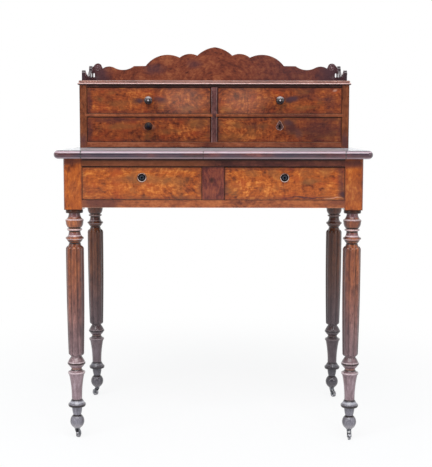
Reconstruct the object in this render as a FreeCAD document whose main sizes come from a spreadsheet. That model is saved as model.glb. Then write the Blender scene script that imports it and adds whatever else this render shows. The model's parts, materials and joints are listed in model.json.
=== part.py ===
import FreeCAD, Part
import os
import re

import Sketcher

# Bonheur du jour in flame mahogany: a small writing table on turned, reeded legs
# with castors, two drawers in the frieze, a writing slide in the top, and a
# gradin with four drawers and a scrolled gallery.
#
# Frame of the part, in millimetres: origin on the floor under the centre of the
# top, +X to the sitter's right, +Y to the back, +Z up.

Vector = FreeCAD.Vector

# Driving dimensions, one cell of the sheet each.
SIZES = {
    # top
    "writing_height": 755,
    "top_width": 804,
    "top_depth": 500,
    "top_thickness": 21.5,
    "front_overhang": 22,
    "side_overhang": 22,
    "rear_overhang": 16,
    "top_corner_radius": 14,
    "nosing_depth": 11,
    "nose_flat": 0.1,
    "nosing_joint": -25,
    "rear_strip_depth": 20,
    # writing slide
    "slide_gap": 0.3,
    "slide_drop": 0.3,
    "slide_lift": 0.2,
    "tongue_width": 6,
    "tongue_thickness": 6,
    "slide_travel": 160,
    # frieze and leg blocks
    "block_square": 47,
    "block_corner_radius": 5,
    "block_height": 130,
    "rail_lift": 6,
    "top_rail_height": 20,
    "bottom_rail_height": 20.3,
    "rail_depth": 45,
    "muntin_width": 57,
    "muntin_tenon": 8,
    "apron_thickness": 20,
    "apron_setback": 2,
    "tenon_length": 25,
    "tenon_thickness": 8,
    "tenon_shoulder": 3,
    "runner_width": 22,
    "guide_height": 20,
    # gradin
    "gradin_side_inset": 24,
    "gradin_depth": 186,
    "gradin_height": 175,
    "gradin_side_thickness": 20.5,
    "gradin_back_thickness": 8,
    "gradin_bottom_thickness": 16,
    "gradin_lower_opening": 70.5,
    "gradin_shelf_thickness": 8.5,
    "gradin_top_rail_height": 6,
    "gradin_top_rail_depth": 26,
    "gradin_divider_width": 20,
    "divider_nose_radius": 5,
    "shelf_housing": 5,
    "cornice_bead_height": 6.5,
    "cornice_bead_overhang": 4.5,
    "cornice_step_height": 6.5,
    "cornice_step_overhang": 1.5,
    # gallery
    "gallery_thickness": 9,
    "gallery_peak": 105.5,
    "gallery_inset": 6,
    "gallery_housing": 3,
    "gallery_front_setback": 10,
    "front_scroll_radius": 9,
    "front_scroll_height": 20,
    "saddle_height": 15,
    "saddle_reach": 76,
    "rear_scroll_radius": 12,
    "rear_scroll_height": 38,
    "ear_inset": 16,
    "ear_height": 45,
    "ear_radius": 12.8,
    "ear_shoulder_height": 46,
    "ear_slot_inset": 4,
    "ear_slot_height": 23,
    "ear_slot_width": 4.5,
    "ear_slot_length": 12,
    # drawers
    "running_gap": 0.3,
    "front_side_gap": 0.8,
    "front_top_gap": 1.4,
    "front_bottom_gap": 0.6,
    "drawer_head_room": 4,
    "bottom_rise": 6,
    "dovetail_count": 3,
    "dovetail_pin": 4,
    "dovetail_flare": 2.5,
    "frieze_front_thickness": 20,
    "frieze_rear_room": 40,
    "frieze_side_wood": 9,
    "frieze_bottom_wood": 6,
    "frieze_lap": 12,
    "gradin_front_thickness": 16,
    "gradin_rear_room": 10,
    "gradin_side_wood": 7,
    "gradin_bottom_wood": 5,
    "gradin_lap": 9,
    # knobs, key plates and locks
    "frieze_key_rise": 14.5,
    "gradin_key_rise": 9,
    "knob_radius": 11.5,
    "knob_neck_radius": 5.5,
    "knob_projection": 22,
    "knob_rim": 8,
    "knob_rim_round": 1.6,
    "knob_button_radius": 4,
    "knob_button_height": 2,
    "dowel_radius": 4,
    "dowel_length": 14,
    "rosette_radius": 12,
    "rosette_thickness": 2,
    "rosette_rim": 2,
    "pear_lobe_radius": 9.8,
    "pear_tip_radius": 3.6,
    "pear_height": 25,
    "pear_thickness": 1.5,
    "keyhole_radius": 2.5,
    "keyhole_slot_width": 2,
    "keyhole_slot_length": 6,
    "plate_inlet": 0.5,
    "lock_width": 46,
    "lock_height": 30,
    "lock_thickness": 8,
    "bolt_width": 14,
    "bolt_thickness": 4,
    "bolt_length": 16,
    "bolt_gap": 0.15,
    "mortise_gap": 0.6,
    "mortise_depth": 6.5,
    # castors
    "castor_height": 29,
    "wheel_radius": 9.5,
    "wheel_width": 6.5,
    "wheel_side_gap": 0.4,
    "castor_trail": 8,
    "axle_radius": 1.5,
    "axle_gap": 0.05,
    "axle_boss_radius": 3.2,
    "fork_cheek": 1.8,
    "fork_crown_radius": 6,
    "fork_shoulder": 4.8,
    "fork_crown_height": 5.5,
    "swivel_radius": 3,
    "swivel_gap": 0.05,
    "swivel_length": 20,
    "swivel_play": 0.3,
    "socket_wall": 2.5,
    "socket_flange_radius": 8,
    "socket_flange_height": 2,
    # reeded shaft
    "reed_count": 8,
    "reed_radius_above": 8.2,
    "reed_radius_below": 7.3,
    "reed_circle_above": 15,
    "reed_circle_below": 12.9,
    "reed_swell": 1.1,
    "reed_rise": 4.5,
    "reed_drop": 1.5,
    "reed_tip_above": 12,
    "reed_tip_below": 6.5,
}

# Directions in which the castors stand, in degrees from +X, per leg.
CASTOR_HEADINGS = {
    "castor_heading_front_left": 75,
    "castor_heading_front_right": 270,
    "castor_heading_rear_left": 140,
    "castor_heading_rear_right": 300,
}

# Turned elements of a leg, from the block down to the shaft and from the shaft
# down to the castor: height, then radius at the head, the middle and the foot.
HEAD_TURNINGS = {
    "disc": (9, 21.4, 22.2, 21.4),
    "collar_cone": (8.5, 14.6, 14.8, 15.6),
    "cup_cove": (8, 16, 17.5, 21.2),
    "cup_band": (6, 22.8, 23.2, 22.8),
    "cup_bowl": (15.5, 22.4, 21.5, 17.4),
    "cup_foot": (2.5, 15.8, 15.5, 15.8),
    "small_ring": (4.5, 18.6, 19.4, 18.6),
    "upper_neck": (6, 15.2, 14.8, 15.2),
    "upper_cove": (11.5, 15.2, 16.5, 20.4),
    "middle_ring": (5, 22.6, 23.2, 22.6),
    "lower_bowl": (9, 21, 18.7, 15.2),
    "lower_neck": (3, 14.8, 14.6, 14.8),
    "shoulder": (9, 15.4, 16.6, 18.4),
}
FOOT_TURNINGS = {
    "ankle_neck": (5.5, 15.4, 14, 14.6),
    "ankle_cushion": (13.5, 14.8, 19.2, 22.2),
    "ankle_ring": (4.5, 22.8, 23.2, 22.8),
    "ankle_bowl": (9.5, 21.6, 19, 14.8),
    "waist": (5, 13.9, 13.6, 13.9),
    "waist_cove": (6, 14.2, 16.4, 20.8),
    "collar_ring": (5, 21.8, 22.4, 21.8),
    "collar_step": (4.5, 20.4, 19.7, 19.5),
    "trumpet": (65.5, 19.2, 14.6, 13.5),
    "foot_cap": (10.5, 14.6, 17.8, 21.4),
    "foot_ring": (7, 22.3, 22.7, 21.4),
    "foot_cone": (24.5, 13.8, 12.6, 9.8),
    "ball": (33, 11.6, 18.4, 9.4),
}
SHAFT_RADII = {"shaft_core_above": 18.6, "shaft_core_below": 16}

# Crest of the gallery's back: points out from its centre and up, then points in
# from the centre of its ear and up. Arcs run through every second one.
CREST_FROM_CENTRE = {
    "peak_flank": (30, 96.5),
    "peak_foot": (52, 81),
    "small_lobe": (72, 86),
    "small_foot": (104, 75),
    "large_lobe": (147, 83),
    "large_foot": (205, 50.5),
}
CREST_FROM_EAR = {
    "flat_end": (107, 50),
    "hollow": (70, 39),
    "wave_start": (51, 44),
    "wave_crest": (33, 49),
    "valley": (14, 43),
}

# Turn that lays an object's own Z axis towards the sitter.
FRONTWARD = FreeCAD.Rotation(Vector(1, 0, 0), 90)

# Share of an arc's radius at half of a quarter turn, and what it lacks of the whole.
DIAGONAL = "sqrt(0.5)"
SLACK = "(1 - sqrt(0.5))"

# How far a cutting tool passes the face that it opens.
PAST = "1"

doc = FreeCAD.newDocument("BonheurDuJour")
sheet = doc.addObject("Spreadsheet::Sheet", "Sizes")
parts = {}


def fill_sheet():
    """One row for each driving dimension, with its alias."""
    rows = dict(SIZES)
    rows.update(CASTOR_HEADINGS)
    rows.update(SHAFT_RADII)
    for name, (height, head, middle, foot) in {**HEAD_TURNINGS, **FOOT_TURNINGS}.items():
        rows[f"{name}_height"] = height
        rows[f"{name}_head_radius"] = head
        rows[f"{name}_middle_radius"] = middle
        rows[f"{name}_foot_radius"] = foot
    for name, (along, up) in {**CREST_FROM_CENTRE, **CREST_FROM_EAR}.items():
        rows[f"{name}_along"] = along
        rows[f"{name}_up"] = up
    for row, (alias, value) in enumerate(rows.items(), 1):
        sheet.set(f"A{row}", alias)
        sheet.set(f"B{row}", str(value))
        sheet.setAlias(f"B{row}", alias)
    doc.recompute()


def on_sheet(formula):
    """The formula with each of its names read from the sheet."""
    return re.sub(r"[a-z]+_[a-z_]+", lambda name: "Sizes." + name.group(), str(formula))


def bind(piece, target, formula):
    piece.setExpression(target, on_sheet(formula))


def value_of(formula):
    return float(sheet.evalExpression(on_sheet(formula)))


def place(piece, x="0", y="0", z="0"):
    for axis, formula in zip("xyz", (x, y, z)):
        bind(piece, f"Placement.Base.{axis}", formula)
    return piece


# Planes that the pieces share, as formulas on the sheet.
TOP_FRONT = "(-top_depth / 2)"
TOP_REAR = "(top_depth / 2)"
TOP_SIDE = "(top_width / 2)"
TOP_UNDER = "(writing_height - top_thickness)"
FRAME_SIDE = "(top_width / 2 - side_overhang)"
FRAME_FRONT = "(front_overhang - top_depth / 2)"
FRAME_REAR = "(top_depth / 2 - rear_overhang)"
BLOCK_INNER = f"({FRAME_SIDE} - block_square)"
BLOCK_BEHIND = f"({FRAME_FRONT} + block_square)"
BLOCK_BEFORE = f"({FRAME_REAR} - block_square)"
BLOCK_FOOT = f"({TOP_UNDER} - block_height)"
APRON_OUT = f"({FRAME_SIDE} - apron_setback)"
APRON_IN = f"({APRON_OUT} - apron_thickness)"
APRON_FOOT = f"({BLOCK_FOOT} + rail_lift)"
BACK_OUT = f"({FRAME_REAR} - apron_setback)"
BACK_IN = f"({BACK_OUT} - apron_thickness)"
FRIEZE_FLOOR = f"({APRON_FOOT} + bottom_rail_height)"
FRIEZE_CEILING = f"({TOP_UNDER} - top_rail_height)"
MUNTIN_SIDE = "(muntin_width / 2)"
LEG_X = f"({FRAME_SIDE} - block_square / 2)"
SLIDE_SIDE = f"({BLOCK_INNER} - slide_gap)"
SLIDE_REAR = f"({TOP_REAR} - rear_strip_depth - slide_gap)"
SLIDE_TOP = "(writing_height - slide_drop)"
SLIDE_UNDER = f"({TOP_UNDER} + slide_lift)"
TONGUE_MIDDLE = "(writing_height - top_thickness / 2)"
GRADIN_SIDE = "(top_width / 2 - gradin_side_inset)"
GRADIN_INNER = f"({GRADIN_SIDE} - gradin_side_thickness)"
GRADIN_FRONT = f"({TOP_REAR} - gradin_depth)"
GRADIN_BACK = f"({TOP_REAR} - gradin_back_thickness)"
GRADIN_TOP = "(writing_height + gradin_height)"
LOWER_FLOOR = "(writing_height + gradin_bottom_thickness)"
LOWER_CEILING = f"({LOWER_FLOOR} + gradin_lower_opening)"
UPPER_FLOOR = f"({LOWER_CEILING} + gradin_shelf_thickness)"
UPPER_CEILING = f"({GRADIN_TOP} - gradin_top_rail_height)"
DIVIDER_SIDE = "(gradin_divider_width / 2)"
GALLERY_BASE = f"({GRADIN_TOP} + cornice_bead_height + cornice_step_height)"
GALLERY_OUTER = f"({GRADIN_SIDE} - gallery_inset)"
GALLERY_END = f"({GALLERY_OUTER} - gallery_thickness)"
EAR_CENTRE = f"({GALLERY_END} - ear_inset)"
SHAFT_HEAD = f"({BLOCK_FOOT} - " + " - ".join(f"{name}_height" for name in HEAD_TURNINGS) + ")"
SHAFT_FOOT = "(castor_height + " + " + ".join(f"{name}_height" for name in FOOT_TURNINGS) + ")"

SIDES = {"left": -1, "right": 1}


def across(side, inner, outer):
    """Range in X between two distances from the middle plane, on one side of it."""
    if side == "right":
        return inner, outer
    return f"-{outer}", f"-{inner}"


def negated(side, formula):
    return formula if side == "right" else f"-({formula})"


def board(name, x, y, z):
    """Squared piece of wood between two planes in each direction."""
    piece = doc.addObject("Part::Box", name)
    for length, axis, (low, high) in zip(("Length", "Width", "Height"), "xyz", (x, y, z)):
        bind(piece, length, f"({high}) - ({low})")
        bind(piece, f"Placement.Base.{axis}", low)
    return piece


def rod(name, radius, length, x="0", y="0", z="0"):
    piece = doc.addObject("Part::Cylinder", name)
    bind(piece, "Radius", radius)
    bind(piece, "Height", length)
    return place(piece, x, y, z)


def joined(name, pieces):
    piece = doc.addObject("Part::MultiFuse", name)
    piece.Shapes = pieces
    piece.Refine = False
    return piece


def group(name, pieces):
    """Separate solids that are kept in one node."""
    piece = doc.addObject("Part::Compound", name)
    piece.Links = pieces
    return piece


def carved(name, base, tools):
    """The base with the room cut out that the tools need."""
    piece = doc.addObject("Part::Cut", name)
    piece.Base = base
    piece.Tool = tools[0] if len(tools) == 1 else joined(f"{name}_room", tools)
    piece.Refine = False
    return piece


def rounded(name, base, radius, chosen):
    """The base with a round of the given radius on each edge that is chosen."""
    doc.recompute()
    size = value_of(radius)
    piece = doc.addObject("Part::Fillet", name)
    piece.Base = base
    edges = enumerate(base.Shape.Edges, 1)
    piece.Edges = [(number, size, size) for number, edge in edges if chosen(edge)]
    return piece


def spans(edge, axis):
    """Extent of the edge along one axis."""
    box = edge.BoundBox
    return {"x": box.XLength, "y": box.YLength, "z": box.ZLength}[axis]


def new_body(name):
    return doc.addObject("PartDesign::Body", name)


def sketch_on(body, name, role):
    """Sketch on one of the body's own origin planes."""
    sketch = body.newObject("Sketcher::SketchObject", name)
    plane = [item for item in body.Origin.OriginFeatures if item.Role == role][0]
    sketch.AttachmentSupport = [(plane, "")]
    sketch.MapMode = "FlatFace"
    doc.recompute()
    return sketch


def pin_point(sketch, curve, end, point):
    """Hold one point of the sketch at two formulas from the sheet."""
    for kind, formula in zip(("DistanceX", "DistanceY"), point):
        size = value_of(formula)
        row = sketch.addConstraint(Sketcher.Constraint(kind, -1, 1, curve, end, size))
        sketch.setExpression(f"Constraints[{row}]", on_sheet(formula))


def flat(point):
    return Vector(value_of(point[0]), value_of(point[1]), 0)


def draw_outline(sketch, start, steps):
    """Closed outline from start. A step of one point is a line to it; a step of
    two is an arc through the first to the second. Points are pairs of formulas."""
    here = start
    first = None
    previous = None
    for step in steps:
        finish = step[-1]
        a, b = flat(here), flat(finish)
        if len(step) == 1:
            curve = sketch.addGeometry(Part.LineSegment(a, b))
        else:
            curve = sketch.addGeometry(Part.Arc(a, flat(step[0]), b))
        forward = sketch.getPoint(curve, 1).distanceToPoint(a) < 1e-6
        head, tail = (1, 2) if forward else (2, 1)
        if previous:
            link = Sketcher.Constraint("Coincident", *previous, curve, head)
            sketch.addConstraint(link)
        else:
            first = (curve, head)
        pin_point(sketch, curve, tail, finish)
        if len(step) == 2:
            middle = sketch.addGeometry(Part.Point(flat(step[0])), True)
            pin_point(sketch, middle, 1, step[0])
            sketch.addConstraint(Sketcher.Constraint("PointOnObject", middle, 1, curve))
        previous = (curve, tail)
        here = finish
    sketch.addConstraint(Sketcher.Constraint("Coincident", *previous, *first))
    return sketch


def turned(body, name, start, steps):
    """Solid of revolution about the body's Z axis."""
    sketch = draw_outline(sketch_on(body, f"{name}_profile", "XZ_Plane"), start, steps)
    feature = body.newObject("PartDesign::Revolution", name)
    feature.Profile = sketch
    feature.ReferenceAxis = (sketch, ["V_Axis"])
    feature.Angle = 360
    return feature


def plate(name, role, start, steps, thickness):
    """Flat piece of one outline, padded from an origin plane of its body."""
    body = new_body(name)
    sketch = draw_outline(sketch_on(body, f"{name}_outline", role), start, steps)
    pad = body.newObject("PartDesign::Pad", f"{name}_pad")
    pad.Profile = sketch
    bind(pad, "Length", thickness)
    return body


# ---------------------------------------------------------------- legs


def leg_profile():
    """Steps of the turned profile, from the centre under the block to the foot."""
    level = BLOCK_FOOT
    steps = []
    for name in HEAD_TURNINGS:
        steps.append([(f"{name}_head_radius", level)])
        steps.append(half_and_foot(name, level))
        level = f"{level} - {name}_height"
    steps.append([("shaft_core_above", SHAFT_HEAD)])
    steps.append([("shaft_core_below", SHAFT_FOOT)])
    level = SHAFT_FOOT
    for name in FOOT_TURNINGS:
        steps.append([(f"{name}_head_radius", level)])
        steps.append(half_and_foot(name, level))
        level = f"{level} - {name}_height"
    steps.append([("0", "castor_height")])
    steps.append([("0", BLOCK_FOOT)])
    return without_empty(("0", BLOCK_FOOT), steps)


def half_and_foot(name, level):
    """Arc of one turned element, through its middle to its foot."""
    middle = (f"{name}_middle_radius", f"{level} - {name}_height / 2")
    foot = (f"{name}_foot_radius", f"{level} - {name}_height")
    return [middle, foot]


def without_empty(start, steps):
    """The steps without a line that would have no length."""
    here = start
    kept = []
    for step in steps:
        if flat(here).distanceToPoint(flat(step[-1])) > 1e-6:
            kept.append(step)
            here = step[-1]
    return kept


def reeds(body, name):
    """Ring of tapered and swelling reeds with round ends, about the leg's axis."""
    above, below = f"({SHAFT_HEAD} + reed_rise)", f"({SHAFT_FOOT} - reed_drop)"
    sketch = sketch_on(body, f"{name}_profile", "XZ_Plane")
    upper_axis = ("reed_circle_above", above)
    lower_axis = ("reed_circle_below", below)
    upper_edge = ("reed_circle_above + reed_radius_above", f"{above} - reed_tip_above")
    lower_edge = ("reed_circle_below + reed_radius_below", f"{below} + reed_tip_below")
    upper_round = (f"reed_circle_above + reed_radius_above * {DIAGONAL}",
                   f"{above} - reed_tip_above * {SLACK}")
    lower_round = (f"reed_circle_below + reed_radius_below * {DIAGONAL}",
                   f"{below} + reed_tip_below * {SLACK}")
    belly = (f"({upper_edge[0]} + {lower_edge[0]}) / 2 + reed_swell",
             f"({upper_edge[1]} + {lower_edge[1]}) / 2")
    steps = [[upper_round, upper_edge], [belly, lower_edge], [lower_round, lower_axis], [upper_axis]]
    draw_outline(sketch, upper_axis, steps)
    axis = sketch.addGeometry(Part.LineSegment(flat(lower_axis), flat(upper_axis)), True)
    pin_point(sketch, axis, 1, lower_axis)
    pin_point(sketch, axis, 2, upper_axis)
    reed = body.newObject("PartDesign::Revolution", name)
    reed.Profile = sketch
    reed.ReferenceAxis = (sketch, ["Axis0"])
    reed.Angle = 360
    doc.recompute()
    ring = body.newObject("PartDesign::PolarPattern", f"{name}_ring")
    ring.Originals = [reed]
    ring.Axis = ([item for item in body.Origin.OriginFeatures if item.Role == "Z_Axis"][0], [""])
    ring.Angle = 360
    bind(ring, "Occurrences", "reed_count")
    body.Tip = ring


def leg_block(body, name, side, end):
    """Square head of the leg, with its outer corner rounded."""
    half = "(block_square / 2)"
    sketch = sketch_on(body, f"{name}_plan", "XY_Plane")
    x = negated(side, half)
    y = half if end == "rear" else f"-{half}"
    inner_x, inner_y = f"-({x})", f"-({y})"
    ease_x = f"{x} - ({x}) / {half} * block_corner_radius"
    ease_y = f"{y} - ({y}) / {half} * block_corner_radius"
    middle_x = f"{x} - ({x}) / {half} * block_corner_radius * {SLACK}"
    middle_y = f"{y} - ({y}) / {half} * block_corner_radius * {SLACK}"
    start = (inner_x, inner_y)
    steps = [
        [(x, inner_y)],
        [(x, ease_y)],
        [(middle_x, middle_y), (ease_x, y)],
        [(inner_x, y)],
        [start],
    ]
    draw_outline(sketch, start, steps)
    bind(sketch, "AttachmentOffset.Base.z", BLOCK_FOOT)
    pad = body.newObject("PartDesign::Pad", f"{name}_block")
    pad.Profile = sketch
    bind(pad, "Length", "block_height")
    body.Tip = pad


def leg(side, end, tools):
    """Turned and reeded leg with its square block, mortised for the rails."""
    name = f"leg_{end}_{side}"
    body = new_body(f"{name}_turned")
    turned(body, f"{name}_turning", ("0", BLOCK_FOOT), leg_profile())
    reeds(body, f"{name}_reeds")
    leg_block(body, name, side, end)
    y = f"{FRAME_FRONT} + block_square / 2" if end == "front" else f"{FRAME_REAR} - block_square / 2"
    place(body, negated(side, LEG_X), y)
    parts[name] = carved(name, body, tools)


# ---------------------------------------------------------------- frame


def tenoned_rail(name, z, y, tenon_y):
    """Rail between the blocks with a tenon at each end."""
    low, high = z
    body = board(f"{name}_body", (f"-{BLOCK_INNER}", BLOCK_INNER), y, z)
    reach = f"({BLOCK_INNER} + tenon_length)"
    tenon_z = (f"{low} + tenon_shoulder", f"{high} - tenon_shoulder")
    tenon = board(f"{name}_tenon", (f"-{reach}", reach), tenon_y, tenon_z)
    return joined(f"{name}_tenoned", [body, tenon])


def front_frame():
    """Two rails and the upright between the drawers."""
    y = (FRAME_FRONT, f"({FRAME_FRONT} + rail_depth)")
    middle = f"({FRAME_FRONT} + rail_depth / 2)"
    tenon_y = (f"({middle} - tenon_thickness)", f"({middle} + tenon_thickness)")
    upper = tenoned_rail("front_top_rail", (FRIEZE_CEILING, TOP_UNDER), y, tenon_y)
    lower = tenoned_rail("front_bottom_rail", (APRON_FOOT, FRIEZE_FLOOR), y, tenon_y)
    upright = board("muntin_body", (f"-{MUNTIN_SIDE}", MUNTIN_SIDE), y, (FRIEZE_FLOOR, FRIEZE_CEILING))
    stub_z = (f"({FRIEZE_FLOOR} - muntin_tenon)", f"({FRIEZE_CEILING} + muntin_tenon)")
    stub_x = (f"-({MUNTIN_SIDE} - muntin_tenon)", f"({MUNTIN_SIDE} - muntin_tenon)")
    stub = board("muntin_tenons", stub_x, tenon_y, stub_z)
    muntin = joined("centre_muntin", [upright, stub])
    parts["centre_muntin"] = muntin
    return upper, lower, muntin


def side_apron(side):
    low, high = APRON_FOOT, TOP_UNDER
    body = board(f"apron_{side}", across(side, APRON_IN, APRON_OUT),
                 (BLOCK_BEHIND, BLOCK_BEFORE), (low, high))
    middle = f"({APRON_OUT} - apron_thickness / 2)"
    x = across(side, f"({middle} - tenon_thickness / 2)", f"({middle} + tenon_thickness / 2)")
    y = (f"({BLOCK_BEHIND} - tenon_length)", f"({BLOCK_BEFORE} + tenon_length)")
    tenon = board(f"apron_tenon_{side}", x, y, (f"({low} + tenon_shoulder)", f"({high} - tenon_shoulder)"))
    name = f"side_apron_{side}"
    parts[name] = joined(name, [body, tenon])
    return parts[name]


def back_apron():
    middle = f"({BACK_OUT} - apron_thickness / 2)"
    tenon_y = (f"({middle} - tenon_thickness / 2)", f"({middle} + tenon_thickness / 2)")
    apron = tenoned_rail("back_apron", (APRON_FOOT, TOP_UNDER), (BACK_IN, BACK_OUT), tenon_y)
    parts["back_apron"] = apron
    return apron


def drawer_runners():
    """Runners, guides and kickers of the frieze drawers."""
    y = (f"({FRAME_FRONT} + rail_depth)", BACK_IN)
    side_y = (BLOCK_BEHIND, BLOCK_BEFORE)
    strips = []
    runner_z = (APRON_FOOT, FRIEZE_FLOOR)
    guide_z = (FRIEZE_FLOOR, f"({FRIEZE_FLOOR} + guide_height)")
    kicker_z = (FRIEZE_CEILING, TOP_UNDER)
    inner = f"({BLOCK_INNER} - runner_width)"
    for side in SIDES:
        strips.append(board(f"runner_{side}", across(side, inner, BLOCK_INNER), y, runner_z))
        strips.append(board(f"kicker_{side}", across(side, inner, BLOCK_INNER), y, kicker_z))
        wall = across(side, BLOCK_INNER, APRON_IN)
        strips.append(board(f"guide_{side}", wall, side_y, (APRON_FOOT, guide_z[1])))
        strips.append(board(f"ledge_{side}", wall, side_y, kicker_z))
    reach = f"({MUNTIN_SIDE} + runner_width)"
    centre_x = (f"-{reach}", reach)
    strips.append(board("runner_centre", centre_x, y, runner_z))
    strips.append(board("kicker_centre", centre_x, y, kicker_z))
    strips.append(board("guide_centre", (f"-{MUNTIN_SIDE}", MUNTIN_SIDE), y, guide_z))
    parts["drawer_runners"] = group("drawer_runners", strips)


def frame_and_legs(mortises):
    upper, lower, muntin = front_frame()
    parts["front_top_rail"] = carved("front_top_rail", upper, [muntin] + mortises)
    parts["front_bottom_rail"] = carved("front_bottom_rail", lower, [muntin])
    back = back_apron()
    for side in SIDES:
        apron = side_apron(side)
        leg(side, "front", [upper, lower, apron, castor_socket("front", side)])
        leg(side, "rear", [back, apron, castor_socket("rear", side)])
    drawer_runners()


# ---------------------------------------------------------------- top


def is_nose(edge, side):
    """Long edges of the front and outer faces, and the arcs between them."""
    box = edge.BoundBox
    if box.ZLength > 1e-6:
        return False
    outer = abs(box.XMax if side > 0 else box.XMin) > value_of(TOP_SIDE) - 1e-6
    front = box.YMin < value_of(TOP_FRONT) + 1e-6
    inner_run = box.XLength < 1e-6 and not outer
    rear_run = box.YLength < 1e-6 and not front
    return (outer or front) and not inner_run and not rear_run


def is_top_corner(edge, side):
    """Upright edge at the front outer corner."""
    box = edge.BoundBox
    outer = abs(box.XMax if side > 0 else box.XMin) > value_of(TOP_SIDE) - 1e-6
    return box.ZLength > 1 and box.YMin < value_of(TOP_FRONT) + 1e-6 and outer


def top_end(side):
    """Fixed end of the top: grooved within for the slide, rounded without."""
    sign = SIDES[side]
    name = f"top_end_{side}"
    z = (TOP_UNDER, "writing_height")
    slab = board(f"{name}_slab", across(side, BLOCK_INNER, TOP_SIDE), (TOP_FRONT, TOP_REAR), z)
    eased = rounded(f"{name}_eased", slab, "top_corner_radius", lambda edge: is_top_corner(edge, sign))
    nose = "(top_thickness - nose_flat) / 2"
    nosed = rounded(f"{name}_nosed", eased, nose, lambda edge: is_nose(edge, sign))
    half = "(tongue_thickness / 2 + slide_gap)"
    groove_x = across(side, f"({BLOCK_INNER} - {PAST})", f"({BLOCK_INNER} + tongue_width)")
    groove_y = (f"({TOP_FRONT} + nosing_depth)", f"({TOP_REAR} - rear_strip_depth)")
    groove_z = (f"({TONGUE_MIDDLE} - {half})", f"({TONGUE_MIDDLE} + {half})")
    groove = board(f"{name}_groove", groove_x, groove_y, groove_z)
    parts[name] = carved(name, nosed, [groove])


def writing_slide():
    """Sliding middle of the top. Its tongues meet the front of their grooves at full travel."""
    y = (f"({TOP_FRONT} + nosing_depth)", SLIDE_REAR)
    panel = board("slide_panel", (f"-{SLIDE_SIDE}", SLIDE_SIDE), y, (SLIDE_UNDER, SLIDE_TOP))
    reach = f"({BLOCK_INNER} + tongue_width - slide_gap)"
    half = "(tongue_thickness / 2)"
    tongue_y = (f"({TOP_FRONT} + nosing_depth + slide_travel + slide_gap)", SLIDE_REAR)
    tongue_z = (f"({TONGUE_MIDDLE} - {half})", f"({TONGUE_MIDDLE} + {half})")
    tongue = board("slide_tongue", (f"-{reach}", reach), tongue_y, tongue_z)
    parts["writing_slide"] = joined("writing_slide", [panel, tongue])


def slide_nosing():
    """Half-round nosing of the slide, in two lengths."""
    y = (TOP_FRONT, f"({TOP_FRONT} + nosing_depth)")
    z = (SLIDE_UNDER, SLIDE_TOP)
    lengths = {"left": (f"-{SLIDE_SIDE}", "nosing_joint"), "right": ("nosing_joint", SLIDE_SIDE)}
    pieces = []
    for side, x in lengths.items():
        strip = board(f"nosing_strip_{side}", x, y, z)
        nose = f"({SLIDE_TOP} - {SLIDE_UNDER} - nose_flat) / 2"
        front = value_of(TOP_FRONT)
        pieces.append(rounded(
            f"nosing_{side}", strip, nose,
            lambda edge: spans(edge, "x") > 1 and edge.BoundBox.YMax < front + 1e-6,
        ))
    parts["slide_nosing"] = group("slide_nosing", pieces)


def top_rear_rail():
    """Fixed strip behind the slide, between the two ends."""
    x = (f"-{BLOCK_INNER}", BLOCK_INNER)
    y = (f"({TOP_REAR} - rear_strip_depth)", TOP_REAR)
    parts["top_rear_rail"] = board("top_rear_rail", x, y, (TOP_UNDER, "writing_height"))


# ---------------------------------------------------------------- gradin


def gradin_carcass(mortise):
    depth = (GRADIN_FRONT, GRADIN_BACK)
    inner_x = (f"-{GRADIN_INNER}", GRADIN_INNER)
    upright = ("writing_height", GRADIN_TOP)
    shelves = []
    for side in SIDES:
        x = across(side, f"({DIVIDER_SIDE} - shelf_housing)", f"({GRADIN_INNER} + shelf_housing)")
        shelf = board(f"gradin_shelf_{side}_board", x, depth, (LOWER_CEILING, UPPER_FLOOR))
        cut = mortise.get(side)
        shelves.append(carved(f"gradin_shelf_{side}", shelf, [cut]) if cut else shelf)
        blank = board(f"gradin_side_{side}_board", across(side, GRADIN_INNER, GRADIN_SIDE),
                      (GRADIN_FRONT, TOP_REAR), upright)
        parts[f"gradin_side_{side}"] = carved(f"gradin_side_{side}", blank, [shelf])
    parts["gradin_shelves"] = group("gradin_shelves", shelves)
    parts["gradin_bottom"] = board("gradin_bottom", inner_x, depth, ("writing_height", LOWER_FLOOR))
    parts["gradin_back"] = board("gradin_back", inner_x, (GRADIN_BACK, TOP_REAR), upright)
    rail_y = (GRADIN_FRONT, f"({GRADIN_FRONT} + gradin_top_rail_depth)")
    rail = board("gradin_top_rail", inner_x, rail_y, (UPPER_CEILING, GRADIN_TOP))
    parts["gradin_top_rail"] = rail
    gradin_divider(depth, rail)


def gradin_divider(depth, rail):
    """Upright between the drawers, with a softened front edge."""
    z = (LOWER_FLOOR, GRADIN_TOP)
    blank = board("gradin_divider_board", (f"-{DIVIDER_SIDE}", DIVIDER_SIDE), depth, z)
    front = value_of(GRADIN_FRONT)
    soft = rounded(
        "gradin_divider_nosed", blank, "divider_nose_radius",
        lambda edge: spans(edge, "z") > 1 and edge.BoundBox.YMax < front + 1e-6,
    )
    housings = []
    for side in SIDES:
        x = across(side, f"({DIVIDER_SIDE} - shelf_housing)", f"({DIVIDER_SIDE} + shelf_housing)")
        housings.append(board(f"divider_housing_{side}", x, depth, (LOWER_CEILING, UPPER_FLOOR)))
    parts["gradin_divider"] = carved("gradin_divider", soft, [rail] + housings)


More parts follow.
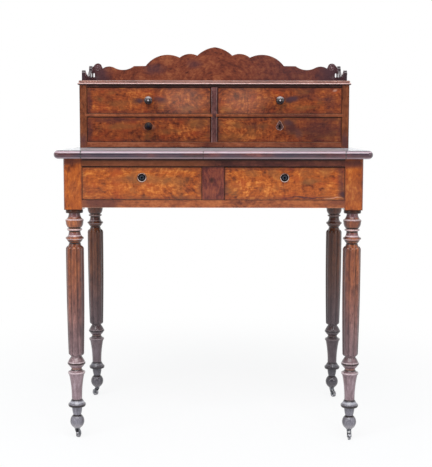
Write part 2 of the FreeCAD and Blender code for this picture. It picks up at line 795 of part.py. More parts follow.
def gradin_top():
    """Moulded top board: a bead below, a smaller rounded step above, and the
    housings of the gallery."""
    levels = {
        "cornice_bead": (GRADIN_TOP, f"({GRADIN_TOP} + cornice_bead_height)"),
        "cornice_step": (f"({GRADIN_TOP} + cornice_bead_height)", GALLERY_BASE),
    }
    layers = []
    for name, z in levels.items():
        out = f"({GRADIN_SIDE} + {name}_overhang)"
        y = (f"({GRADIN_FRONT} - {name}_overhang)", TOP_REAR)
        layer = board(f"{name}_board", (f"-{out}", out), y, z)
        doc.recompute()
        rear = layer.Shape.BoundBox.YMax
        inset = layer.Shape.BoundBox.XMax
        layers.append(rounded(
            f"{name}_moulded", layer, f"({name}_height - nose_flat) / 2",
            lambda edge: spans(edge, "z") < 1e-6 and is_moulded(edge, inset, rear),
        ))
    gallery = [parts[name] for name in parts if name.startswith("gallery")]
    parts["gradin_top"] = carved("gradin_top", joined("gradin_top_board", layers), gallery)


def is_moulded(edge, side, rear):
    """Edges of the front and the two ends, not those of the rear."""
    box = edge.BoundBox
    return box.YMax < rear - 1e-6 or box.XMin > side - 1e-6 or box.XMax < 1e-6 - side


# ---------------------------------------------------------------- gallery


def crest(name):
    if name in CREST_FROM_CENTRE:
        return f"{name}_along", f"{name}_up"
    return f"({EAR_CENTRE} - {name}_along)", f"{name}_up"


def mirrored_point(point):
    return f"-({point[0]})", point[1]


def gallery_back():
    """Shaped back of the gallery, with a scrolled and pierced ear at each end."""
    diagonal = f"(ear_radius * {DIAGONAL})"
    run = [
        [crest("peak_flank"), crest("peak_foot")],
        [crest("small_lobe"), crest("small_foot")],
        [crest("large_lobe"), crest("large_foot")],
        [crest("flat_end")],
        [crest("hollow"), crest("wave_start")],
        [crest("wave_crest"), crest("valley")],
        [(f"{EAR_CENTRE} - {diagonal}", f"ear_height + {diagonal}")],
        [(EAR_CENTRE, "ear_height + ear_radius"), (f"{EAR_CENTRE} + {diagonal}", f"ear_height + {diagonal}")],
        [(GALLERY_END, "ear_shoulder_height")],
        [(GALLERY_END, "-gallery_housing")],
    ]
    peak = ("0", "gallery_peak")
    left = []
    points = [peak] + [step[-1] for step in run]
    for step, before in zip(reversed(run), reversed(points[:-1])):
        middles = [mirrored_point(point) for point in step[:-1]]
        left.append(middles + [mirrored_point(before)])
    steps = run + [[mirrored_point(run[-1][-1])]] + left
    panel = plate("gallery_back_panel", "XZ_Plane", peak, steps, "gallery_thickness")
    slots = [ear_slot(side) for side in SIDES]
    parts["gallery_back"] = place(carved("gallery_back", panel, slots), "0", TOP_REAR, GALLERY_BASE)


def ear_slot(side):
    """Upright slot with round ends, through the panel below its ear."""
    x = negated(side, f"({GALLERY_END} - ear_slot_inset)")
    radius = "(ear_slot_width / 2)"
    half = f"(ear_slot_length / 2 - {radius})"
    through = f"(gallery_thickness + {PAST} * 2)"
    ends = []
    for end, level in {"top": f"ear_slot_height + {half}", "foot": f"ear_slot_height - {half}"}.items():
        drill = rod(f"ear_slot_{end}_{side}", radius, through)
        drill.Placement = FreeCAD.Placement(Vector(0, 0, 0), FRONTWARD)
        ends.append(place(drill, x, PAST, level))
    span = (f"({x} - {radius})", f"({x} + {radius})")
    levels = (f"(ear_slot_height - {half})", f"(ear_slot_height + {half})")
    middle = board(f"ear_slot_middle_{side}", span, (f"{PAST} - {through}", PAST), levels)
    return joined(f"ear_slot_{side}", ends + [middle])


def gallery_side(side):
    """Side of the gallery: a low scroll in front, a saddle, a taller scroll behind."""
    run = "(gradin_depth - gallery_front_setback)"
    front, rear = "front_scroll_radius", "rear_scroll_radius"
    rear_y = f"({run} - {rear})"
    front_top = f"front_scroll_height + {front} * {DIAGONAL}"
    foot = ("0", "-gallery_housing")
    steps = [
        [("0", "front_scroll_height")],
        [(f"{front} * {SLACK}", front_top), (f"{front} + {front} * {DIAGONAL}", front_top)],
        [("saddle_reach", "saddle_height"), (f"{rear_y} - {rear} * {DIAGONAL}", "rear_scroll_height")],
        [(rear_y, f"rear_scroll_height + {rear}"), (run, "rear_scroll_height")],
        [(run, "-gallery_housing")],
        [foot],
    ]
    blank = plate(f"gallery_side_{side}", "YZ_Plane", foot, steps, "gallery_thickness")
    x = GALLERY_END if side == "right" else f"-{GALLERY_OUTER}"
    place(blank, x, f"({GRADIN_FRONT} + gallery_front_setback)", GALLERY_BASE)
    parts[f"gallery_side_{side}"] = blank


# ---------------------------------------------------------------- fittings


def knob(name, x, y, z):
    """Turned knob with a centre button, its dowel let into the drawer front."""
    body = new_body(name)
    shank = "(knob_projection - knob_rim)"
    rim = "(knob_radius - knob_rim_round)"
    button_top = "knob_projection + knob_button_height"
    steps = [
        [("dowel_radius", "-dowel_length")],
        [("dowel_radius", "0")],
        [("knob_neck_radius", "0")],
        [("knob_neck_radius", f"{shank} * 0.4")],
        [(f"knob_neck_radius + ({rim} - knob_neck_radius) * 0.35", f"{shank} * 0.8"), (rim, shank)],
        [("knob_radius", f"{shank} + knob_rim * 0.35"), (rim, f"{shank} + knob_rim * 0.7")],
        [("knob_button_radius", "knob_projection")],
        [("knob_button_radius", "knob_projection + knob_button_height / 2")],
        [("knob_button_radius * 0.6", button_top)],
        [("0", button_top)],
        [("0", "-dowel_length")],
    ]
    turned(body, f"{name}_turning", ("0", "-dowel_length"), steps)
    body.Placement = FreeCAD.Placement(Vector(0, 0, 0), FRONTWARD)
    parts[name] = place(body, x, y, z)
    return body


def keyhole(name, depth, upward):
    """Round of the pin with the slot for the bit above or below it, along +Z."""
    pin = rod(f"{name}_pin", "keyhole_radius", f"{depth} * 2", z=f"-{depth}")
    half = "(keyhole_slot_width / 2)"
    slot_y = ("0", "keyhole_slot_length") if upward else ("-keyhole_slot_length", "0")
    slot = board(f"{name}_bit", (f"-{half}", half), slot_y, (f"-{depth}", depth))
    return joined(f"{name}_keyhole", [pin, slot])


def rosette(name, x, y, z):
    """Round key plate with a raised rim."""
    body = new_body(f"{name}_turned")
    rim = "(rosette_radius - rosette_rim * 2)"
    steps = [
        [("rosette_radius", "-plate_inlet")],
        [("rosette_radius", "0")],
        [("rosette_radius - rosette_rim", "rosette_thickness"), (rim, "rosette_thickness / 2")],
        [("0", "rosette_thickness / 2")],
        [("0", "-plate_inlet")],
    ]
    turned(body, f"{name}_turning", ("0", "-plate_inlet"), steps)
    return key_plate(name, body, "rosette_thickness", False, x, y, z)


def pear_plate(name, x, y, z):
    """Key plate with a wide round foot that draws in to a small round head."""
    rise = "(pear_height - pear_lobe_radius - pear_tip_radius)"
    head = ("pear_tip_radius", rise)
    foot = ("pear_lobe_radius", "0")
    neck = ("(pear_tip_radius * 1.15 + pear_lobe_radius * 0.85) / 2", f"{rise} * 0.5")
    steps = [
        [("0", "-pear_lobe_radius"), foot],
        [neck, head],
        [("0", f"{rise} + pear_tip_radius"), mirrored_point(head)],
        [mirrored_point(neck), mirrored_point(foot)],
    ]
    body = plate(f"{name}_plate", "XY_Plane", mirrored_point(foot), steps, "pear_thickness + plate_inlet")
    place(body, "0", "0", "-plate_inlet")
    return key_plate(name, body, "pear_thickness", True, x, y, z)


def key_plate(name, body, thickness, upward, x, y, z):
    hole = keyhole(name, f"({thickness} + plate_inlet + {PAST})", upward)
    plate_piece = carved(name, body, [hole])
    plate_piece.Placement = FreeCAD.Placement(Vector(0, 0, 0), FRONTWARD)
    parts[name] = place(plate_piece, x, y, z)
    return plate_piece


def around(centre, half, gap="0"):
    """Range on both sides of a centre, with a gap beyond each end."""
    return f"({centre} - {half} - {gap})", f"({centre} + {half} + {gap})"


def lock(name, x, front_y, front_thickness, top_z, key_z):
    """Lock case let into the back of the front, its bolt, and the key's way in."""
    inner = f"({front_y} + {front_thickness})"
    middle = f"({inner} - lock_thickness / 2)"
    case_y = (f"({inner} - lock_thickness)", inner)
    case = board(f"{name}_case_block", around(x, "lock_width / 2"), case_y,
                 (f"({top_z} - lock_height)", top_z))
    half_x, half_y = "bolt_width / 2", "bolt_thickness / 2"
    bolt_top = f"({top_z} - bolt_gap)"
    bolt_foot = f"({bolt_top} - bolt_length)"
    bolt = board(f"{name}_bolt", around(x, half_x), around(middle, half_y), (bolt_foot, bolt_top))
    parts[f"{name}_bolt"] = bolt
    way = board(f"{name}_bolt_way", around(x, half_x, "bolt_gap"), around(middle, half_y, "bolt_gap"),
                (f"({bolt_foot} - bolt_gap)", f"({top_z} + {PAST})"))
    key_way = rod(f"{name}_key_way", "keyhole_radius", f"{front_thickness} + {PAST} * 2")
    key_way.Placement = FreeCAD.Placement(Vector(0, 0, 0), FRONTWARD)
    place(key_way, x, f"{inner} + {PAST}", key_z)
    parts[f"{name}_case"] = carved(f"{name}_case", case, [way, key_way])
    mortise_z = (f"({top_z} - {PAST})", f"({top_z} + front_top_gap + mortise_depth)")
    mortise = board(f"{name}_mortise", around(x, half_x, "mortise_gap"),
                    around(middle, half_y, "mortise_gap"), mortise_z)
    return case, key_way, mortise


# ---------------------------------------------------------------- drawers


def drawer(name, kind, x, front_y, floor, ceiling, fitting, key_z):
    """Drawer in its opening: show front, grooved sides, back and bottom, fitting."""
    low, high = x
    thick, lap = f"{kind}_front_thickness", f"{kind}_lap"
    wood, base = f"{kind}_side_wood", f"{kind}_bottom_wood"
    room_end = {"frieze": BACK_IN, "gradin": GRADIN_BACK}[kind]
    rear = f"({room_end} - {kind}_rear_room)"
    inner_y = f"({front_y} + {thick})"
    outer_low, outer_high = f"({low} + front_side_gap)", f"({high} - front_side_gap)"
    inner_low, inner_high = f"({outer_low} + {wood})", f"({outer_high} - {wood})"
    front_top = f"({ceiling} - front_top_gap)"
    blank = board(f"{name}_front_blank", (outer_low, outer_high), (front_y, inner_y),
                  (f"({floor} + front_bottom_gap)", front_top))
    side_foot, side_top = f"({floor} + running_gap)", f"({ceiling} - drawer_head_room)"
    bottom_foot = f"({side_foot} + bottom_rise)"
    bottom_top = f"({bottom_foot} + {base})"
    bottom = board(f"{name}_bottom", (f"({inner_low} - {wood} / 2)", f"({inner_high} + {wood} / 2)"),
                   (f"({inner_y} - {lap} / 2)", rear), (bottom_foot, bottom_top))
    walls = []
    sides = []
    for side, span in {"left": (outer_low, inner_low), "right": (inner_high, outer_high)}.items():
        plank = board(f"{name}_plank_{side}", span, (f"({inner_y} - {lap})", rear), (side_foot, side_top))
        pins = dovetail_pins(f"{name}_{side}", span, (f"({inner_y} - {lap})", inner_y), (side_foot, side_top))
        wall = carved(f"{name}_wall_{side}", plank, pins)
        walls.append(wall)
        sides.append(carved(f"{name}_side_{side}", wall, [bottom]))
    back = board(f"{name}_back", (inner_low, inner_high), (f"({rear} - {wood})", rear), (bottom_top, side_top))
    parts[f"{name}_box"] = group(f"{name}_box", sides + [bottom, back])
    middle = f"(({low} + {high}) / 2)"
    tools = walls + [bottom]
    mortise = None
    if fitting is knob:
        tools.append(knob(f"{name}_knob", middle, front_y, key_z))
    else:
        tools.append(fitting(f"{name}_key_plate", middle, front_y, key_z))
        case, key_way, mortise = lock(f"{name}_lock", middle, front_y, thick, front_top, key_z)
        tools += [case, key_way]
    parts[f"{name}_front"] = carved(f"{name}_front", blank, tools)
    return mortise


def dovetail_pins(name, x, y, z):
    """Wedges between the tails, narrow in front and flared behind."""
    low, high = z
    count = int(value_of("dovetail_count"))
    pins = []
    for number in range(1, count):
        level = f"({low} + ({high} - {low}) * {number} / {count})"
        pin = doc.addObject("Part::Wedge", f"{name}_pin_{number}")
        narrow, wide = "dovetail_pin / 2", "(dovetail_pin / 2 + dovetail_flare)"
        extents = {"X": x, "X2": x, "Y": y}
        extents["Z"] = (f"{level} - {narrow}", f"{level} + {narrow}")
        extents["Z2"] = (f"{level} - {wide}", f"{level} + {wide}")
        for axis, (start, finish) in extents.items():
            bind(pin, f"{axis}min", start)
            bind(pin, f"{axis}max", finish)
        pins.append(pin)
    return pins


def frieze_drawers():
    mortises = []
    for side in SIDES:
        x = across(side, MUNTIN_SIDE, BLOCK_INNER)
        key_z = f"(({FRIEZE_FLOOR} + {FRIEZE_CEILING}) / 2 + frieze_key_rise)"
        mortises.append(drawer(f"frieze_drawer_{side}", "frieze", x, FRAME_FRONT, FRIEZE_FLOOR,
                               FRIEZE_CEILING, rosette, key_z))
    return mortises


def gradin_drawers():
    mortises = {}
    for side in SIDES:
        x = across(side, DIVIDER_SIDE, GRADIN_INNER)
        drawer(f"gradin_upper_drawer_{side}", "gradin", x, GRADIN_FRONT, UPPER_FLOOR, UPPER_CEILING,
               knob, f"(({UPPER_FLOOR} + {UPPER_CEILING}) / 2)")
        fitting = pear_plate if side == "right" else knob
        key_z = f"(({LOWER_FLOOR} + {LOWER_CEILING}) / 2 + gradin_key_rise)"
        mortises[side] = drawer(f"gradin_lower_drawer_{side}", "gradin", x, GRADIN_FRONT, LOWER_FLOOR,
                                LOWER_CEILING, fitting, key_z)
    return mortises


# ---------------------------------------------------------------- castors


def leg_axis(end, side):
    y = f"({FRAME_FRONT} + block_square / 2)" if end == "front" else f"({FRAME_REAR} - block_square / 2)"
    return negated(side, LEG_X), y


sockets = []


def castor_socket(end, side):
    """Tube with a flange, let into the ball foot; the swivel pin turns in it."""
    bore = "(swivel_radius + swivel_gap)"
    depth = "(swivel_length + swivel_play)"
    name = f"castor_socket_{end}_{side}"
    flange = rod(f"{name}_flange", "socket_flange_radius", "socket_flange_height",
                 z="castor_height - socket_flange_height")
    sleeve = rod(f"{name}_sleeve", f"{bore} + socket_wall", f"{depth} + socket_wall + socket_flange_height",
                 z="castor_height - socket_flange_height")
    hole = rod(f"{name}_bore", bore, f"{depth} + socket_flange_height + {PAST}",
               z=f"castor_height - socket_flange_height - {PAST}")
    socket = carved(name, joined(f"{name}_blank", [flange, sleeve]), [hole])
    solid = joined(f"{name}_solid", [flange, sleeve])
    x, y = leg_axis(end, side)
    place(socket, x, y)
    sockets.append(socket)
    room = doc.addObject("Part::Compound", f"{name}_seat")
    room.Links = [solid]
    place(room, x, y)
    return room


def castor(end, side):
    """Fork on its swivel pin, with cheeks and axle, and the wheel between them."""
    name = f"castor_{end}_{side}"
    crown_top = "(castor_height - socket_flange_height - swivel_play)"
    crown_foot = f"({crown_top} - fork_crown_height)"
    crown = rod(f"{name}_crown", "fork_crown_radius", "fork_crown_height", z=crown_foot)
    pin = rod(f"{name}_pin", "swivel_radius", f"fork_crown_height + swivel_length + socket_flange_height",
              z=crown_foot)
    half_slot = "(wheel_width / 2 + wheel_side_gap)"
    half_fork = f"({half_slot} + fork_cheek)"
    boss, trail, axle_z = "axle_boss_radius", "castor_trail", "wheel_radius"
    crown_level = f"({crown_foot} + fork_crown_height / 2)"
    steps = [
        [("fork_shoulder", crown_level)],
        [(f"{trail} + {boss}", axle_z)],
        [(trail, f"{axle_z} - {boss}"), (f"{trail} - {boss}", axle_z)],
        [("-fork_shoulder", crown_level)],
    ]
    cheeks = plate(f"{name}_cheeks", "XZ_Plane", ("-fork_shoulder", crown_level), steps,
                   f"{half_fork} * 2")
    place(cheeks, "0", half_fork)
    slot = board(f"{name}_slot", (f"-{trail} - wheel_radius", f"{trail} + wheel_radius * 2"),
                 (f"-{half_slot}", half_slot), (f"-{PAST}", crown_foot))
    forked = carved(f"{name}_cheek_pair", cheeks, [slot])
    axle = rod(f"{name}_axle", "axle_radius", f"{half_fork} * 2")
    axle.Placement = FreeCAD.Placement(Vector(0, 0, 0), FRONTWARD)
    place(axle, trail, half_fork, axle_z)
    fork = joined(f"{name}_fork", [crown, pin, forked, axle])
    disc = rod(f"{name}_disc", "wheel_radius", "wheel_width")
    disc.Placement = FreeCAD.Placement(Vector(0, 0, 0), FRONTWARD)
    place(disc, trail, "wheel_width / 2", axle_z)
    bore = rod(f"{name}_wheel_bore", "axle_radius + axle_gap", f"wheel_width + {PAST} * 2")
    bore.Placement = FreeCAD.Placement(Vector(0, 0, 0), FRONTWARD)
    place(bore, trail, f"wheel_width / 2 + {PAST}", axle_z)
    wheel = carved(f"{name}_wheel", disc, [bore])
    x, y = leg_axis(end, side)
    for piece in (fork, wheel):
        piece.Placement = FreeCAD.Placement(Vector(0, 0, 0), FreeCAD.Rotation(Vector(0, 0, 1), 1))
        bind(piece, "Placement.Rotation.Angle", f"castor_heading_{end}_{side}")
        parts[piece.Name] = place(piece, x, y)


# ---------------------------------------------------------------- whole


def build():
    fill_sheet()
    frame_and_legs(frieze_drawers())
    for side in SIDES:
        top_end(side)
        gallery_side(side)
        castor("front", side)
        castor("rear", side)
    parts["castor_sockets"] = group("castor_sockets", sockets)
    top_rear_rail()
    writing_slide()
    slide_nosing()
    gradin_carcass(gradin_drawers())
    gallery_back()
    gradin_top()
    doc.recompute()


def check():
    """Stop with a message if any object failed or any piece isn't a sound solid."""
    failed = [item.Name for item in doc.Objects if {"Invalid", "Error"} & set(item.State)]
    if failed:
        raise RuntimeError(f"objects that failed: {failed}")
    for name, piece in parts.items():
        if piece.Shape.isNull() or not piece.Shape.isValid() or not piece.Shape.Solids:
            raise RuntimeError(f"{name} is not a valid solid")


def export():
    os.makedirs("parts", exist_ok=True)
    for name, piece in parts.items():
        piece.Label = name
        piece.Shape.exportStep(f"parts/{name}.step")


build()
check()
export()
print(len(parts), "sub-parts written")
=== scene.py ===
"""Bonheur du jour in flame mahogany: its finishes, carving and setting."""

import json
import math

import bmesh
import bpy
import numpy as np
from mathutils import Matrix, Vector


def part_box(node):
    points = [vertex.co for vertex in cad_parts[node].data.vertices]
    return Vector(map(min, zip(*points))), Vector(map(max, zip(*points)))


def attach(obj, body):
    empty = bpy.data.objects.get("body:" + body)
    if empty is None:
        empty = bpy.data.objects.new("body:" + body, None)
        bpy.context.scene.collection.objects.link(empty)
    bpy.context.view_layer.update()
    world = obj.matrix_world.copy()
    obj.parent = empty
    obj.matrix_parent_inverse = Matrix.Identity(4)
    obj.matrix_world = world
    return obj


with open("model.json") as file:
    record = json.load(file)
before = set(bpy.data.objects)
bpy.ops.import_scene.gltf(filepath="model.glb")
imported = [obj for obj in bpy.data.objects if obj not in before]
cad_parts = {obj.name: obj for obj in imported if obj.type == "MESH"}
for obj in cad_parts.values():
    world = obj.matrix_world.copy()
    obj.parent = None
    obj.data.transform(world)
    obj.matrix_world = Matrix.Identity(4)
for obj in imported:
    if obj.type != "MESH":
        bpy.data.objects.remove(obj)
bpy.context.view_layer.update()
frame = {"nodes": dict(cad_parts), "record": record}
NODES = frame["nodes"]


# ---------------------------------------------------------------- finishes


class Wire:
    """A socket in a finish. Arithmetic on it adds Math nodes."""

    def __init__(self, finish, socket):
        self.finish = finish
        self.socket = socket

    def maths(self, operation, first, second=0.0, clamp=False):
        return self.finish.node("Math", {0: first, 1: second}, operation=operation, use_clamp=clamp)

    def __add__(self, other):
        return self.maths("ADD", self, other)

    def __radd__(self, other):
        return self.maths("ADD", other, self)

    def __sub__(self, other):
        return self.maths("SUBTRACT", self, other)

    def __rsub__(self, other):
        return self.maths("SUBTRACT", other, self)

    def __mul__(self, other):
        return self.maths("MULTIPLY", self, other)

    def __truediv__(self, other):
        return self.maths("DIVIDE", self, other)

    def __pow__(self, other):
        return self.maths("POWER", self, other)

    def __abs__(self):
        return self.maths("ABSOLUTE", self)

    def clipped(self):
        return self.maths("ADD", self, clamp=True)

    def cosine(self):
        return self.maths("COSINE", self)

    def bearing(self, across):
        """Angle of the direction that goes across by one value and up by this one."""
        return self.maths("ARCTAN2", self, across)

    def length(self, other):
        return (self * self + other * other) ** 0.5


# Numbers of the colour sockets of a Mix node, whose names repeat.
MIX_FACTOR, MIX_FIRST, MIX_SECOND, MIX_RESULT = 0, 6, 7, 2


class Nodes:
    """A node tree, and the ways its patterns are made."""

    def __init__(self, tree):
        self.tree = tree

    def node(self, kind, inputs=None, output=0, stops=(), **settings):
        """One node: its settings first, then the values or links of its sockets."""
        item = self.tree.nodes.new("ShaderNode" + kind)
        for name, value in settings.items():
            setattr(item, name, value)
        if stops:
            ramp = item.color_ramp.elements
            while len(ramp) < len(stops):
                ramp.new(1.0)
            for element, (position, colour) in zip(ramp, stops):
                element.position = position
                element.color = (*colour, 1.0)
        for name, value in (inputs or {}).items():
            if isinstance(value, Wire):
                self.tree.links.new(value.socket, item.inputs[name])
            else:
                item.inputs[name].default_value = value
        return Wire(self, item.outputs[output])

    def moved(self, vector, scale=(1, 1, 1), turn=(0, 0, 0), shift=(0, 0, 0)):
        """The vector scaled, turned in degrees, then shifted."""
        inputs = {"Vector": vector, "Location": shift, "Scale": scale,
                  "Rotation": tuple(math.radians(angle) for angle in turn)}
        return self.node("Mapping", inputs)

    def noise(self, vector, scale, detail=3.0, roughness=0.5, distortion=0.0, output="Fac"):
        inputs = {"Vector": vector, "Scale": scale, "Detail": detail, "Roughness": roughness,
                  "Distortion": distortion}
        return self.node("TexNoise", inputs, output)

    def ramp(self, factor, *stops):
        return self.node("ValToRGB", {0: factor}, stops=stops)

    def step(self, value, low, high):
        """0 below low, 1 above high, smooth between them."""
        inputs = {"Value": value, "From Min": low, "From Max": high}
        return self.node("MapRange", inputs, interpolation_type="SMOOTHSTEP")

    def band(self, value, low, high, soft):
        """1 between low and high, 0 beyond them by the soft width."""
        return self.step(value, low - soft, low) * self.step(value, high + soft, high)

    def mix(self, factor, first, second):
        """Blend of two colours."""
        inputs = {MIX_FACTOR: factor, MIX_FIRST: as_colour(first), MIX_SECOND: as_colour(second)}
        return self.node("Mix", inputs, MIX_RESULT, data_type="RGBA")

    def axes(self, vector):
        parts = self.node("SeparateXYZ", {0: vector})
        return [Wire(self, parts.socket.node.outputs[axis]) for axis in "XYZ"]

    def warped(self, vector, scale, amount):
        """The vector pushed about by a slow noise."""
        swirl = self.noise(vector, scale, 2.0, output="Color")
        centred = self.node("VectorMath", {0: swirl, 1: (0.5, 0.5, 0.5)}, operation="SUBTRACT")
        push = self.node("VectorMath", {0: centred, 3: amount}, operation="SCALE")
        return self.node("VectorMath", {0: vector, 1: push}, operation="ADD")


# Depth of pores and of pitted metal, in metres.
BUMP_DEPTH = 0.0003


class Finish(Nodes):
    """A material with the plain numbers of its shader."""

    def __init__(self, name, roughness=0.4, coat=0.0, coat_roughness=0.1, metallic=0.0):
        self.material = bpy.data.materials.new(name)
        self.material.use_nodes = True
        super().__init__(self.material.node_tree)
        self.shader = self.tree.nodes["Principled BSDF"]
        self.give("Roughness", roughness)
        self.give("Coat Weight", coat)
        self.give("Coat Roughness", coat_roughness)
        self.give("Metallic", metallic)
        self.place = self.node("TexCoord", output="Object")

    def give(self, name, value):
        """Set or link one socket of the shader."""
        if isinstance(value, Wire):
            self.tree.links.new(value.socket, self.shader.inputs[name])
        else:
            self.shader.inputs[name].default_value = value

    def bump(self, height, strength):
        inputs = {"Strength": strength, "Distance": BUMP_DEPTH, "Height": height}
        self.give("Normal", self.node("Bump", inputs))


def as_colour(value):
    return value if isinstance(value, Wire) else (*value, 1.0)


def tone(red, green, blue):
    """Linear colour of an 8-bit sRGB one."""
    linear = []
    for level in (red, green, blue):
        share = level / 255
        linear.append(share / 12.92 if share <= 0.04045 else ((share + 0.055) / 1.055) ** 2.4)
    return tuple(linear)


def shades(*tones):
    """Even stops of a ramp over the middle of its range."""
    first, last = 0.26, 0.74
    gap = (last - first) / (len(tones) - 1)
    return [(first + gap * number, tone(*patch_tone)) for number, patch_tone in enumerate(tones)]


# Turn that lays a grain which runs along X along another axis.
GRAIN = {"x": (0, 0, 0), "y": (0, 0, 90), "z": (0, 90, 0)}

# Tints laid over the wood. The shade tone serves the wood's own dark patches and painted shade. The grime
# tone serves grime, dark joints and painted shade in gaps, grooves and undersides. The worn tone serves
# wear and a painted highlight. The palest serves rubbed lips and painted highlights on the legs.
OLIVE, RUST, DARK_TONE_AND_SHADE = tone(124, 78, 40), tone(150, 56, 22), tone(64, 32, 36)
PLUM, GRIME_AND_SHADE, PORE = tone(72, 46, 54), tone(26, 12, 10), tone(44, 20, 14)
WEAR_AND_HIGHLIGHT, LEG_LIP_WEAR_AND_HIGHLIGHT = tone(196, 156, 138), tone(216, 198, 202)


class Mahogany(Finish):
    """French-polished mahogany.

    A share between 0 and 1 is the sum of a slow cloud, streaks stretched along the grain,
    short fibres and a fine curly mottle, and a ramp turns it into colour. Dark pores come
    on top.
    """

    def __init__(self, name, grain="x", seed=0.0, roughness=0.3, coat=0.6, coat_roughness=0.1):
        super().__init__(name, coat=coat, coat_roughness=coat_roughness)
        self.give("Specular IOR Level", 0.25)
        self.dull = roughness
        self.laid = self.moved(self.place, turn=GRAIN[grain], shift=(seed, seed * 0.7, seed * 1.3))
        self.loose = self.warped(self.laid, 9.0, 0.03)
        self.cloud = self.drawn(narrow=1.5, scale=13.0, detail=3.0, roughness=0.55)
        self.streaks = self.drawn(narrow=12.0, scale=12.0, detail=5.0, roughness=0.6)
        self.fibre = self.drawn(narrow=2.6, scale=95.0, detail=3.0, roughness=0.6, distortion=0.5)
        self.mottle = self.drawn(narrow=1.25, scale=62.0, detail=3.0, roughness=0.6, distortion=0.35)
        self.pore = self.step(self.noise(self.moved(self.laid, (1.0, 16.0, 16.0)), 60.0, 2.0), 0.58, 0.7)

    def drawn(self, narrow, scale, detail, roughness=0.5, distortion=0.0):
        """A noise whose marks are narrower across the grain than along it."""
        squeezed = self.moved(self.loose, (1.0, narrow, narrow))
        return self.noise(squeezed, scale, detail, roughness, distortion)

    def share(self, cloud=0.9, streaks=0.7, fibre=0.45, mottle=0.2):
        return ((self.cloud - 0.5) * cloud + (self.streaks - 0.5) * streaks
                + (self.fibre - 0.5) * fibre + (self.mottle - 0.5) * mottle + 0.5)

    def arcs(self, heart, reach=0.24):
        """Growth lines that swing round the heart of a crotch, fainter far from it.

        A noise that is drawn fast along the distance from the heart, and slowly across it,
        leaves short arcs. The front is mirrored about the table's middle.
        """
        x, _, z = self.axes(self.warped(self.place, 8.0, 0.06))
        side, up = abs(x) - heart[0], z - heart[1]
        radius = side.length(up)
        swung = self.node("CombineXYZ", {0: radius * 170.0, 1: side * 55.0, 2: up * 55.0})
        near = self.step(radius, reach, reach * 0.25) * 0.6 + 0.4
        return (self.noise(swung, 1.0, 3.0, 0.55) - 0.5) * near

    def patches(self, spots, reach=0.02):
        """How far the front lies in soft ellipses: x, z, half width, half height, strength."""
        x, _, z = self.axes(self.warped(self.place, 28.0, reach))
        total = 0.0
        for middle_x, middle_z, half_x, half_z, strength in spots:
            across, up = (x - middle_x) / half_x, (z - middle_z) / half_z
            total = self.step(across.length(up), 1.0, 0.2) * strength + total
        return total.clipped()

    def edge(self, low, high, ripple):
        """Distance from a front's own edge, which wavers by the ripple."""
        x, _, z = self.axes(self.warped(self.place, 60.0, ripple))
        side = (high[0] - low[0]) / 2 - abs(x - (low[0] + high[0]) / 2)
        level = (high[2] - low[2]) / 2 - abs(z - (low[2] + high[2]) / 2)
        return side.maths("MINIMUM", side, level)

    def polish(self, colour):
        """Pores sunk in the film, and a roughness that varies a little with the wood."""
        self.give("Base Color", self.mix(self.pore * 0.3, colour, PORE))
        self.give("Roughness", (self.fibre - 0.5) * 0.15 + self.dull)
        self.bump(self.streaks * 0.5 - self.pore * 0.4, 0.12)
        return self


def dress(finish, *names):
    """Put the finish on the nodes in place of what they had."""
    for name in names:
        node = NODES[name]
        node.data.materials.clear()
        node.data.materials.append(finish.material)


def plain(name, stops, grain="x", seed=0.0, roughness=0.3, coat=0.6):
    """Straight-grained mahogany from dark to light."""
    wood = Mahogany(name, grain, seed, roughness, coat)
    return wood.polish(wood.ramp(wood.share().clipped(), *stops))


def gap_dust_and_shade(wood, low, high, foot):
    """Painted shade, with dust, in the gap round a drawer front; the foot is its strength along the bottom.
    """
    x, _, z = wood.axes(wood.place)
    above = wood.step(high[2] - z, 0.0018, 0.0006) * 0.6
    below = wood.step(z - low[2], 0.0018, 0.0004) * foot
    inset = (high[0] - low[0]) / 2 - abs(x - (low[0] + high[0]) / 2)
    ends = wood.step(inset, 0.0022, 0.0006) * 0.45
    return (above + below + ends).clipped()


FLAME = shades((88, 36, 14), (138, 64, 20), (166, 84, 26), (198, 120, 52))
DEEP_FLAME = shades((72, 28, 14), (116, 52, 24), (148, 72, 30), (186, 108, 50))
KEYHOLE_RADIUS, KEYHOLE_BLACK = 0.008, tone(10, 6, 6)


